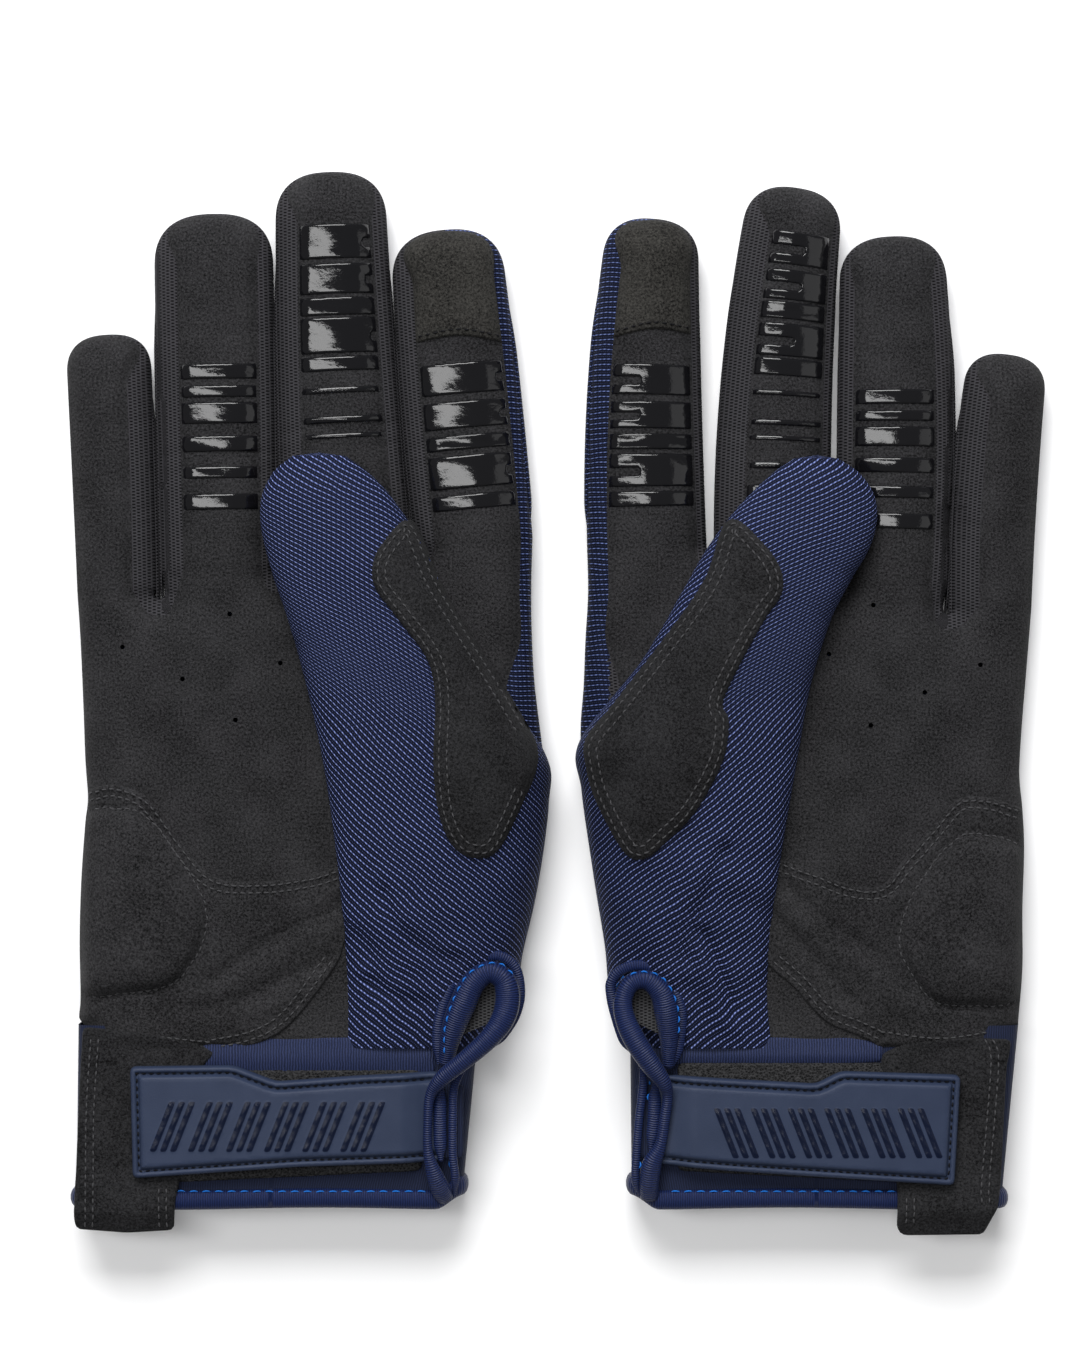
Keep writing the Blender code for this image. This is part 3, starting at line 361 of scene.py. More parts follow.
SILICONE = {   # per finger, bars as (from, to) in y on the finger's centre line
    "right": {
        "index": ((69.5, 76.4), (61.8, 67.8), (57.0, 60.2), (48.4, 55.7), (43.6, 46.9)),
        "middle": ((100.0, 107.7), (92.1, 98.9), (87.3, 91.3), (78.8, 86.8), (74.8, 78.0), (69.8, 71.1),
                   (63.1, 64.6), (59.7, 60.7)),
        "ring": ((72.7, 76.1), (68.6, 71.2), (62.7, 67.4), (56.4, 59.9), (50.4, 53.0), (43.4, 46.9)),
    },
    "left": {
        "index": ((69.5, 76.4), (61.9, 68.0), (57.2, 60.7), (48.8, 56.2), (44.3, 47.7)),
        "middle": ((98.7, 106.0), (90.8, 97.5), (86.5, 90.3), (78.2, 85.5), (73.8, 77.7), (69.3, 70.4),
                   (62.6, 63.8), (59.2, 60.2), (52.8, 54.2), (45.8, 49.1)),
        "ring": ((67.2, 70.5), (63.4, 65.7), (57.7, 62.1), (51.8, 55.1), (46.1, 48.7), (39.2, 42.6)),
    },
}
PERFORATIONS = {   # centres of the palm's air holes
    "right": ((-73.1, 20.0), (-97.2, 12.6), (-83.7, 5.4), (-61.7, 9.0), (-71.8, -3.8)),
    "left": ((-71.5, 22.0), (-95.5, 8.6), (-83.0, 2.4), (-61.5, 11.0), (-70.9, -5.0)),
}
PERFORATION_RADIUS = 0.55
HEEL_LOW_EDGE = {"right": slice(11, 16), "left": slice(12, 17)}     # the heel overlay's edge over the cuff
GRIP_MARK_SPAN = {"right": (-85.5, -43.0), "left": (-81.5, -40.5)}  # u of the first and last group of ribs
LOOP_FIELD = {"right": (-86.0, -30.0, -82.4), "left": (-78.0, -27.5, -80.8)}   # u from and to, and top y
LYCRA = {"right": (-79.5, -83.4), "left": (-73.6, -81.2)}           # u and y of the low outer corner
NOTCH_DEPTH = {"right": (1.2, 2.0), "left": (5.0, 8.5)}   # of the notches in the widest bars
GUSSET_SWELL = {   # how far the gusset bulges past the finger's edge, on the thumb side and on the little side
    "right": {"index": (0.5, 0.25), "middle": (0.25, 0.5), "ring": (0.5, 0.45), "little": (0.45, 0)},
    "left": {"index": (0.5, 0.1), "middle": (0.1, 0.1), "ring": (0.1, 0.55), "little": (0.55, 0)},
}


# ---------------------------------------------------------------- plane geometry
def spline(points, step=1.0, closed=False):
    """Catmull-Rom curve through points of any dimension, as an array sampled about every step."""
    p = np.array(points, float)
    n = len(p)
    spans = n if closed else n - 1
    out = []
    for i in range(spans):
        b, c = p[i], p[(i + 1) % n]
        a = p[i - 1] if closed or i else 2 * b - c
        d = p[(i + 2) % n] if closed or i + 2 < n else 2 * c - b
        m = max(1, int(round(np.linalg.norm((c - b)[:2]) / step)))
        t = (np.arange(m) / m)[:, None]
        out.append(0.5 * (2 * b + (c - a) * t + (2 * a - 5 * b + 4 * c - d) * t * t
                          + (3 * b - a - 3 * c + d) * t ** 3))
    if not closed:
        out.append(p[-1:])
    return np.vstack(out)


def resample(path, step):
    """Points a step apart along a polyline."""
    gaps = np.linalg.norm(np.diff(path[:, :2], axis=0), axis=1)
    s = np.concatenate([[0], np.cumsum(gaps)])
    count = max(2, int(round(s[-1] / step)) + 1)
    at = np.linspace(0, s[-1], count)
    return np.stack([np.interp(at, s, path[:, k]) for k in range(path.shape[1])], axis=1)


def close(loop):
    return np.vstack([loop, loop[:1]])


def resample_loop(loop, step):
    return resample(close(loop), step)[:-1]


def from_gap(loop):
    """The points of a closed line that lost a stretch, started again after the missing stretch."""
    gaps = np.linalg.norm(np.diff(close(loop), axis=0), axis=1)
    return np.roll(loop, -(int(np.argmax(gaps)) + 1), axis=0)


def turn_of(loop):
    """1 for an outline that runs anticlockwise, -1 for a clockwise one."""
    x, y = loop[:, 0], loop[:, 1]
    return 1 if (x * np.roll(y, -1) - np.roll(x, -1) * y).sum() > 0 else -1


def leftwards(steps):
    """Unit vectors a quarter turn to the left of each step."""
    normal = np.stack([-steps[:, 1], steps[:, 0]], axis=1)
    return normal / np.maximum(np.linalg.norm(normal, axis=1), 1e-9)[:, None]


def inwards(loop):
    """Unit vectors into a closed outline at each of its points."""
    return leftwards(np.roll(loop, -1, axis=0) - np.roll(loop, 1, axis=0)) * turn_of(loop)


def distance_to(points, line, closed=True):
    """Distance of each point to a polyline in the plane."""
    a = line if closed else line[:-1]
    b = np.roll(line, -1, axis=0) if closed else line[1:]
    out = np.full(len(points), 1e9)
    ab = b - a
    length = np.maximum((ab ** 2).sum(1), 1e-12)
    for lo in range(0, len(points), 2000):
        p = points[lo:lo + 2000, None, :]
        t = np.clip(((p - a) * ab).sum(2) / length, 0, 1)
        gap = p - (a + t[:, :, None] * ab)
        out[lo:lo + 2000] = np.sqrt((gap ** 2).sum(2)).min(1)
    return out


def inside(points, loop):
    """Whether each point lies inside a closed outline."""
    a, b = loop, np.roll(loop, -1, axis=0)
    hit = np.zeros(len(points), bool)
    for lo in range(0, len(points), 4000):
        x, y = points[lo:lo + 4000, 0:1], points[lo:lo + 4000, 1:2]
        across = (a[:, 1] > y) != (b[:, 1] > y)
        rise = np.where(np.abs(b[:, 1] - a[:, 1]) < 1e-12, 1e-12, b[:, 1] - a[:, 1])
        at = a[:, 0] + (y - a[:, 1]) / rise * (b[:, 0] - a[:, 0])
        hit[lo:lo + 4000] = (across & (x < at)).sum(1) % 2 == 1
    return hit


def triangulate(loops, lines=(), spacing=GRID, rows=(0.25, 0.75, 1.5, 2.5), holes=()):
    """Triangles that fill loops[0], with every loop, line and hole as edges, and an even grid between them."""
    outer = loops[0]
    normal = inwards(outer)
    free = []
    for row in rows:
        p = outer + normal * row
        free.append(p[distance_to(p, outer) > row * 0.93])
    low, high = outer.min(0), outer.max(0)
    xs = np.arange(low[0], high[0], spacing)
    ys = np.arange(low[1], high[1], spacing * 0.87)
    gx, gy = np.meshgrid(xs, ys)
    gx = gx + (np.arange(len(ys)) % 2)[:, None] * spacing / 2
    grid = np.stack([gx.ravel(), gy.ravel()], axis=1)
    grid = grid[inside(grid, outer)]
    grid = grid[distance_to(grid, outer) > (rows[-1] if rows else 0) + spacing * 0.55]
    free.append(grid)
    free = np.vstack(free)
    free = free[inside(free, outer)]
    for loop in list(loops[1:]) + list(holes):
        free = free[distance_to(free, loop) > spacing * 0.4]
    for line in lines:
        free = free[distance_to(free, line, closed=False) > spacing * 0.4]
    points, edges = [], []
    for loop in list(loops) + list(holes):
        base = sum(len(p) for p in points)
        points.append(loop)
        edges += [(base + i, base + (i + 1) % len(loop)) for i in range(len(loop))]
    for line in lines:
        base = sum(len(p) for p in points)
        points.append(line)
        edges += [(base + i, base + i + 1) for i in range(len(line) - 1)]
    points = np.vstack(points + [free])
    made = delaunay_2d_cdt([Vector(p) for p in points], edges, [], 0, 1e-4)
    verts = np.array([tuple(v) for v in made[0]], float)
    faces = np.array(made[2], int)
    middle = verts[faces].mean(1)
    keep = inside(middle, outer)
    for hole in holes:
        keep &= ~inside(middle, hole)
    faces = faces[keep]
    a, b, c = (verts[faces[:, k]] for k in range(3))
    area = (b[:, 0] - a[:, 0]) * (c[:, 1] - a[:, 1]) - (b[:, 1] - a[:, 1]) * (c[:, 0] - a[:, 0])
    faces[area < 0] = faces[area < 0][:, ::-1]
    return verts, faces[np.abs(area) > 1e-7]


def puff(distance, reach, power=PUFF_POWER):
    """From 0 at the edge, steeply, to 1 at a distance of reach and beyond."""
    share = 1 - np.clip(distance / reach, 0, 1)
    return (1 - share ** power) ** (1 / power)


def smoothstep(x):
    x = np.clip(x, 0, 1)
    return x * x * (3 - 2 * x)


def wrinkle(points, size, seed):
    """Smooth noise in the plane, about -1 to 1, with features of the given size."""
    return np.array([noise.noise(Vector((p[0] / size, p[1] / size, seed))) for p in points])


def crease(points, lines):
    """Height to add for folds: a groove along each line with a soft ridge on one side of it."""
    out = np.zeros(len(points))
    for route, deep, wide in lines:
        line = spline(route, 2.0)
        gap = distance_to(points, line, closed=False)
        near = np.argmin(((points[:, None, :] - line[None, :, :]) ** 2).sum(2), axis=1)
        d = np.gradient(line, axis=0)[near]
        side = np.sign(d[:, 0] * (points - line[near])[:, 1] - d[:, 1] * (points - line[near])[:, 0])
        s = gap * side
        out += deep * (0.75 * np.exp(-((s - 1.5 * wide) / (1.1 * wide)) ** 2) - np.exp(-(s / (0.62 * wide)) ** 2))
    return out


# ---------------------------------------------------------------- pieces
def vertex_normals(verts, faces):
    normals = np.zeros_like(verts)
    for k in range(1, faces.shape[1] - 1):
        n = np.cross(verts[faces[:, k]] - verts[faces[:, 0]], verts[faces[:, k + 1]] - verts[faces[:, 0]])
        for j in (0, k, k + 1):
            np.add.at(normals, faces[:, j], n)
    return normals / np.maximum(np.linalg.norm(normals, axis=1), 1e-12)[:, None]


class Glove:
    def __init__(self, hand):
        self.hand = hand
        self.sign = HANDS[hand]

    def body(self, name):
        return f"{self.hand}_{name}"

    def place(self, point):
        """A point of the glove's plane in the frame, in metres."""
        return (point[0] * self.sign * MM, point[1] * MM, point[2] * MM)

    def piece(self, name, verts, faces, cloth, material, slot, normals=None, keep=None):
        """Makes a mesh piece from millimetre points. cloth is where each point lies on its flat cloth."""
        verts, faces, cloth = np.asarray(verts, float), np.asarray(faces, int), np.asarray(cloth, float)
        if normals is None:
            normals = vertex_normals(verts, faces)
        if keep is not None:
            faces = faces[keep]
            used, faces = np.unique(faces, return_inverse=True)
            faces = faces.reshape(-1, 3) if faces.ndim == 1 else faces
            verts, cloth, normals = verts[used], cloth[used], normals[used]
        if not len(faces):
            return None
        flip = np.array([self.sign, 1, 1])
        if self.sign < 0:
            faces = faces[:, ::-1]
        mesh = bpy.data.meshes.new(f"{self.hand}_{name}")
        mesh.from_pydata([tuple(v) for v in verts * flip * MM], [], [tuple(int(i) for i in f) for f in faces])
        mesh.polygons.foreach_set("use_smooth", [True] * len(mesh.polygons))
        attribute = mesh.attributes.new("cloth", "FLOAT_VECTOR", "POINT")
        if cloth.shape[1] == 2:
            cloth = np.hstack([cloth, np.zeros((len(cloth), 1))])
        attribute.data.foreach_set("vector", cloth.astype(np.float32).ravel())
        mesh.normals_split_custom_set_from_vertices([tuple(n) for n in normals * flip])
        mesh.materials.append(material)
        obj = bpy.data.objects.new(f"{self.hand}_{name}_look", mesh)
        bpy.context.scene.collection.objects.link(obj)
        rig.slot(obj, slot)
        return obj

    def stitching(self, name, rows, material, slot):
        """Makes one piece of several rows of stitches; a row too short to hold a stitch is left out."""
        verts, faces, cloth = join_parts([row for row in rows if row is not None])
        return self.piece(name, verts, faces, cloth, material, slot)


def join_parts(parts):
    """One mesh from several (verts, faces, cloth) with triangles or quads alike."""
    verts, faces, cloth, base = [], [], [], 0
    for v, f, c in parts:
        verts.append(v)
        faces.append(np.asarray(f) + base)
        cloth.append(c)
        base += len(v)
    return np.vstack(verts), np.vstack(faces), np.vstack(cloth)


def sweep(path, radii, aspect):
    """A tube along a path. radii is per point, and aspect flattens it upright. Cloth is (along, round)."""
    n = len(path)
    tangent = np.gradient(path, axis=0)
    tangent /= np.linalg.norm(tangent, axis=1)[:, None]
    side = np.cross(tangent, np.array([0, 0, 1.0]))
    side /= np.maximum(np.linalg.norm(side, axis=1), 1e-9)[:, None]
    rise = np.cross(side, tangent)
    along = np.concatenate([[0], np.cumsum(np.linalg.norm(np.diff(path, axis=0), axis=1))])
    angle = np.arange(TUBE_SIDES) * 2 * math.pi / TUBE_SIDES
    c, s = np.cos(angle)[None, :, None], np.sin(angle)[None, :, None]
    ring = c * side[:, None, :] + s * rise[:, None, :] * aspect
    verts = (path[:, None, :] + ring * radii[:, None, None]).reshape(-1, 3)
    turned = np.abs(np.arange(TUBE_SIDES) - TUBE_SIDES / 2) / TUBE_SIDES * 2 * math.pi
    cloth = np.column_stack([np.repeat(along, TUBE_SIDES), (turned[None, :] * radii[:, None]).ravel()])
    faces = list(map(tuple, grid_faces(n, TUBE_SIDES, True)))
    for row in (0, n - 1):
        centre = len(verts)
        verts, cloth = np.vstack([verts, path[row]]), np.vstack([cloth, cloth[row * TUBE_SIDES]])
        for k in range(TUBE_SIDES):
            a, b = row * TUBE_SIDES + k, row * TUBE_SIDES + (k + 1) % TUBE_SIDES
            faces.append((a, b, centre, centre) if row else (b, a, centre, centre))
    return verts, faces, cloth


def quads_to_triangles(faces):
    out = []
    for f in faces:
        out.append((f[0], f[1], f[2]))
        if f[3] != f[2]:
            out.append((f[0], f[2], f[3]))
    return np.array(out, int)


class Ground:
    """A surface that points are dropped on from above."""

    def __init__(self, *parts):
        verts, faces, _ = join_parts([(v, f, v) for v, f in parts])
        self.tree = BVHTree.FromPolygons([Vector(v) for v in verts], [tuple(int(i) for i in f) for f in faces])

    def height(self, points, default=0.0):
        out = np.full(len(points), default)
        tilt = np.tile(np.array([0, 0, 1.0]), (len(points), 1))
        for i, p in enumerate(points):
            hit = self.tree.ray_cast(Vector((p[0], p[1], 200.0)), Vector((0, 0, -1)))
            if hit[0] is not None:
                out[i] = hit[0].z
                n = hit[1] if hit[1].z > 0 else -hit[1]
                tilt[i] = n
        return out, tilt


# ---------------------------------------------------------------- fingers and outlines
class Finger:
    def __init__(self, hand, name):
        root, middle, tip, widths = FINGERS[hand][name]
        self.name = name
        self.points = np.array([root, middle, tip], float)
        self.widths = np.array(widths, float)
        self.length = np.linalg.norm(np.diff(self.points, axis=0), axis=1).sum()
        self.strips = SIDE_STRIPS[hand][name]
        self.joint = KNUCKLE_SHARE
        self.tip_joint = TIP_KNUCKLE_SHARE[name]

    @staticmethod
    def weights(t):
        return np.stack([2 * (t - 0.5) * (t - 1), -4 * t * (t - 1), 2 * t * (t - 0.5)], axis=-1)

    def centre(self, t):
        return self.weights(np.asarray(t, float)) @ self.points

    def along(self, t):
        d = self.centre(np.asarray(t) + 0.01) - self.centre(np.asarray(t) - 0.01)
        return d / np.linalg.norm(d, axis=-1, keepdims=True)

    def across(self, t):
        d = self.along(t)
        return np.stack([d[..., 1], -d[..., 0]], axis=-1)

    def half(self, t):
        return self.weights(np.asarray(t, float)) @ self.widths / 2

    def local(self, points):
        """Each point's place along the finger, and its distance from the centre line."""
        line = np.linspace(-0.8, 1.05, 200)
        t = np.interp(points[:, 1], self.centre(line)[:, 1], line)
        return t, ((points[:, :2] - self.centre(t)) * self.across(t)).sum(1)

    def outline(self, inner=False):
        """From the thumb side at the web over the tip to the little side. inner gives the edge of the suede."""
        tip_gap = 0.7 if inner else 0.0
        end = 1 - tip_gap / self.length
        cap = self.half(1.0) * 0.9 / self.length
        straight = np.linspace(0.02, end - cap, 44)
        turn = np.sin(np.linspace(0, math.pi / 2, 26)[1:])
        t = np.concatenate([straight, end - cap + cap * turn])
        past = np.clip((t - (end - cap)) / cap, 0, 1)
        shrink = np.maximum(1 - past ** 2.5, 0) ** (1 / 2.5)
        left_over = (end - t) * self.length
        fade = smoothstep((left_over - 1.0) / 11.0)
        sides = []
        for sign, strip in ((1, self.strips[0]), (-1, self.strips[1])):
            half = self.half(t) - (strip * fade + 0.5 * (1 - fade) if inner else 0)
            sides.append(self.centre(t) + self.across(t) * (half * shrink * sign)[:, None])
        return np.vstack([sides[0], sides[1][::-1][1:]])

    def cut(self, t):
        """A straight line across the finger, for where a piece of it ends."""
        c, n, half = self.centre(t), self.across(t), float(self.half(t))
        return np.linspace(c + n * (half + 0.6), c - n * (half + 0.6), 24)

    def beyond(self, points, t):
        """Whether points lie past the cut at t and between the finger's sides."""
        c, d, n = self.centre(t), self.along(t), self.across(t)
        x = (points - c) @ n
        return ((points - c) @ d > 0) & (np.abs(x) < float(self.half(t)) + 3.0) & (points[:, 1] > c[1] - 6)

    def cuts(self):
        """Where the bending pieces start: before the middle knuckle, and half way between the knuckles."""
        return self.joint - (BEND_REACH + 1.0) / self.length, (self.joint + self.tip_joint) / 2

    def bend(self, glove, which):
        """Start and end of the bend at a knuckle, as points of the frame."""
        t = self.joint if which == "mid" else self.tip_joint
        half_way = (self.tip_joint - self.joint) / 2 * self.length
        reach = BEND_REACH if which == "mid" else min(BEND_REACH, half_way - 1)
        c, d = self.centre(t), self.along(t)
        return [glove.place((*(c + d * s * reach), LOFT)) for s in (-1, 1)]


def hand_outline(hand, fingers, inner=False):
    """Outline of the hand's palm side; inner gives the edge of the suede in it."""
    parts = []
    inset = 3.6 if inner else 0.0
    for i, name in enumerate(FINGER_ORDER):
        parts.append(fingers[name].outline(inner))
        if i < 3:
            web = np.array(WEBS[hand][i])
            after = fingers[FINGER_ORDER[i + 1]].outline(inner)[0]
            low = web - np.array([0, inset])
            bend = spline([parts[-1][-1], low + np.array([1.1 + inset * 0.45, 1.0]), low,
                           low + np.array([-1.1 - inset * 0.45, 1.0]), after], 0.8)
            parts.append(bend[1:-1])
    thumb_side = np.array(THUMB_SIDE[hand])
    if inner:   # the knit widens into the thumb's root
        thumb_side[:, 0] -= fingers["index"].strips[0] + 6.0 * smoothstep((12.0 - thumb_side[:, 1]) / 14.0)
    little = spline([parts[-1][-1], *(np.array(LITTLE_SIDE[hand]) + [0.7 * inner, 0])], 1.0)[1:]
    thumb = spline([*thumb_side, parts[0][0]], 1.0)[:-1]
    if inner:
        little[-1, 1] += 0.4
        thumb[0, 1] += 0.4
    bottom = np.linspace(little[-1], thumb[0], 80)[1:-1]
    return resample_loop(np.vstack(parts + [little, bottom, thumb]), 1.0)


# ---------------------------------------------------------------- materials
FULL_TURN = 6.2832


class Value:
    """An output of a shader node, so that a sum or a product of outputs is written as one."""

    def __init__(self, nodes, socket):
        self.nodes = nodes
        self.socket = socket

    def __add__(self, other):
        return self.nodes.math("ADD", self, other)

    def __sub__(self, other):
        return self.nodes.math("SUBTRACT", self, other)

    def __rsub__(self, other):
        return self.nodes.math("SUBTRACT", other, self)

    def __mul__(self, other):
        return self.nodes.math("MULTIPLY", self, other)

    def __abs__(self):
        return self.nodes.math("ABSOLUTE", self)


class Nodes:
    """Small helper to wire shader nodes."""

    def __init__(self, name):
        self.material = bpy.data.materials.new(name)
        self.material.use_nodes = True
        self.tree = self.material.node_tree
        self.shader = self.tree.nodes["Principled BSDF"]

    def feed(self, socket, value):
        """Links a node's output to the socket, or sets the socket to a plain number or colour."""
        if isinstance(value, Value):
            self.tree.links.new(value.socket, socket)
        else:
            socket.default_value = value

    def add(self, kind, output, inputs, **settings):
        """Makes a node, and returns one of its outputs."""
        node = self.tree.nodes.new(kind)
        for key, value in settings.items():
            setattr(node, key, value)
        for key, value in inputs.items():
            self.feed(node.inputs[key], value)
        return Value(self, node.outputs[output])

    def cloth(self, scale=(1, 1, 1), turn=0.0):
        """The flat cloth coordinate, scaled and turned."""
        place = self.add("ShaderNodeAttribute", "Vector", {}, attribute_name="cloth")
        return self.add("ShaderNodeMapping", "Vector", {"Vector": place, "Scale": scale, "Rotation": (0, 0, turn)})

    def split(self, vector):
        """The first two coordinates of a vector."""
        node = self.tree.nodes.new("ShaderNodeSeparateXYZ")
        self.feed(node.inputs["Vector"], vector)
        return Value(self, node.outputs["X"]), Value(self, node.outputs["Y"])

    def math(self, operation, a, b=0.0):
        return self.add("ShaderNodeMath", 0, {0: a, 1: b}, operation=operation)

    def wave(self, value):
        """From 1 at each whole number to 0 half way between two of them."""
        return self.math("COSINE", value * FULL_TURN) * 0.5 + 0.5

    def from_middle(self, value):
        """Distance from the middle between two whole numbers."""
        return abs(self.math("FRACT", value) - 0.5)

    def noise(self, vector, scale, detail=3.0, rough=0.5):
        return self.add("ShaderNodeTexNoise", "Fac", {"Vector": vector, "Scale": scale, "Detail": detail,
                                                      "Roughness": rough})

    def ramp(self, value, stops):
        node = self.tree.nodes.new("ShaderNodeValToRGB")
        self.feed(node.inputs["Fac"], value)
        ramp = node.color_ramp
        while len(ramp.elements) < len(stops):
            ramp.elements.new(0.5)
        for element, (at, colour) in zip(ramp.elements, stops):
            element.position = at
            element.color = (*colour, 1)
        return Value(self, node.outputs["Color"])

    def bump(self, height, strength, distance, below=None):
        inputs = {"Height": height, "Strength": strength, "Distance": distance}
        if below is not None:
            inputs["Normal"] = below
        return self.add("ShaderNodeBump", "Normal", inputs)

    def finish(self, **looks):
        """Sets the surface's inputs, an underscore standing for a space in a name."""
        for key, value in looks.items():
            self.feed(self.shader.inputs[key.replace("_", " ")], value)
        return self.material


def suede(name, dark, light):
    """Brushed microfibre: a fine mottled nap, a little paler where it stands up."""
    n = Nodes(name)
    place = n.cloth()
    grain = n.noise(place, 1.9, 4, 0.85)
    patch = n.noise(place, 0.09, 3)
    colour = n.ramp(grain * 0.85 + patch * 0.15, ((0.40, dark), (0.62, light)))
    normal = n.bump(n.noise(place, 0.8, 2), 0.25, 0.0005)
    normal = n.bump(grain, 0.35, 0.0004, normal)
    return n.finish(Base_Color=colour, Normal=normal, Roughness=0.93, Sheen_Weight=0.02, Sheen_Roughness=0.5,
                    Specular_IOR_Level=0.12)


def rib_knit(name, dark, mid, light, row=1.4, bead=0.95, turn=0.0):
    """Rows of yarn dashes with a row of small dim stitches between each two. The colour follows the yarn's height,
    with a painted highlight on the crown of each dash and painted black shade in the gaps between rows.
    """
    n = Nodes(name)
    wander = n.noise(n.cloth(), 0.12, 2)
    across, along = n.split(n.cloth((1 / bead, 1 / row, 1), turn))
    drape = n.noise(n.cloth(), 0.028, 2) * 2.5
    v = along + (wander * 0.8 + drape)
    u = across + n.math("FLOOR", v) * 0.43
    centre = n.from_middle(v)
    main = n.math("MAXIMUM", 1.0 - centre * 4.4, 0.0)
    between = n.math("MAXIMUM", centre * 6.0 - 2.1, 0.0) * 0.6
    lean = u + v * 0.5
    # Each dash is brightest at its middle: a painted highlight on its crown.
    bead_highlight = main * (n.wave(lean) * 0.6 + 0.45)
    dim = between * (n.wave(lean * 2.0) * 0.8 + 0.1)
    height = bead_highlight + dim
    fibre = n.noise(n.cloth(), 4.0, 3)
    # Colour from the height: the lightest colour is a painted highlight on the dashes, the darkest is painted shade in
    # the gaps between rows.
    colour = n.ramp(height + (fibre - 0.5) * 0.35, ((0.08, dark), (0.45, mid), (0.95, light)))
    return n.finish(Base_Color=colour, Normal=n.bump(height, 0.9, 0.0005), Roughness=0.75, Sheen_Weight=0.0,
                    Specular_IOR_Level=0.12)


def mesh_knit(name, dark, light, wide, tall):
    """Side-wall mesh: columns of short slots between flat yarns."""
    n = Nodes(name)
    u, along = n.split(n.cloth((1 / wide, 1 / tall, 1)))
    v = along + n.math("FLOOR", u) * 0.5
    slot = n.math("MAXIMUM", n.from_middle(u) * 2.3, n.from_middle(v) * 3.4)
    height = n.math("MINIMUM", n.math("POWER", slot, 1.5), 1.0)
    fibre = n.noise(n.cloth(), 4.0, 3)
    colour = n.ramp(height * 0.8 + fibre * 0.3, ((0.25, dark), (0.95, light)))
    return n.finish(Base_Color=colour, Normal=n.bump(height, 0.8, 0.0005), Roughness=0.85, Sheen_Weight=0.0,
                    Specular_IOR_Level=0.1)


def fine_rib(name, dark, light, pitch, rough, lift):
    """Satin tape or lycra: fine ribs across the length of the cloth."""
    n = Nodes(name)
    across, _ = n.split(n.cloth((1 / pitch, 1, 1)))
    ribs = n.wave(across + n.noise(n.cloth(), 0.5, 2) * 0.8)
    colour = n.ramp(ribs * 0.6 + n.noise(n.cloth(), 3.0, 3) * 0.4, ((0.15, dark), (0.85, light)))
    return n.finish(Base_Color=colour, Normal=n.bump(ribs, lift, 0.00025), Roughness=rough, Sheen_Weight=0.03,
                    Sheen_Roughness=0.35, Specular_IOR_Level=0.2)


def moulded(name, dark, light, rough):
    """Moulded rubber with a fine matt texture."""
    n = Nodes(name)
    place = n.cloth()
    colour = n.ramp(n.noise(place, 0.15, 2), ((0.3, dark), (0.7, light)))
    normal = n.bump(n.noise(place, 3.5, 4, 0.6), 0.12, 0.0003)
    return n.finish(Base_Color=colour, Normal=normal, Roughness=rough, Specular_IOR_Level=0.16)


def glossy(name, colour):
    """Silicone print: thin, wet-looking, with a slightly uneven skin."""
    n = Nodes(name)
    place = n.cloth()
    normal = n.bump(n.noise(place, 0.9, 3, 0.6), 0.07, 0.0005)
    rough = n.add("ShaderNodeMapRange", 0, {"Value": n.noise(place, 1.6, 2), "To Min": 0.04, "To Max": 0.12})
    return n.finish(Base_Color=(*colour, 1), Roughness=rough, Normal=normal, Specular_IOR_Level=0.38)


def thread(name, colour, rough=0.5):
    n = Nodes(name)
    twist = n.add("ShaderNodeTexWave", "Fac", {"Vector": n.cloth((3.2, 3.2, 3.2), 0.5), "Scale": 1.2})
    tone = n.ramp(twist, ((0.0, tuple(c * 0.6 for c in colour)), (1.0, colour)))
    return n.finish(Base_Color=tone, Normal=n.bump(twist, 0.4, 0.0002), Roughness=rough, Specular_IOR_Level=0.2)


def pile(name, dark, light):
    """Hook-and-loop pile: a dense tangle."""
    n = Nodes(name)
    place = n.cloth()
    tangle = n.add("ShaderNodeTexVoronoi", "Distance", {"Vector": place, "Scale": 1.9})
    height = tangle * 0.6 + n.noise(place, 3.5, 4, 0.7) * 0.6
    colour = n.ramp(height, ((0.3, dark), (0.8, light)))
    return n.finish(Base_Color=colour, Normal=n.bump(height, 1.0, 0.0008), Roughness=0.95, Specular_IOR_Level=0.08)


THUMB_ROWS_TURN = 0.42   # slant of the thumb's knit rows, in radians


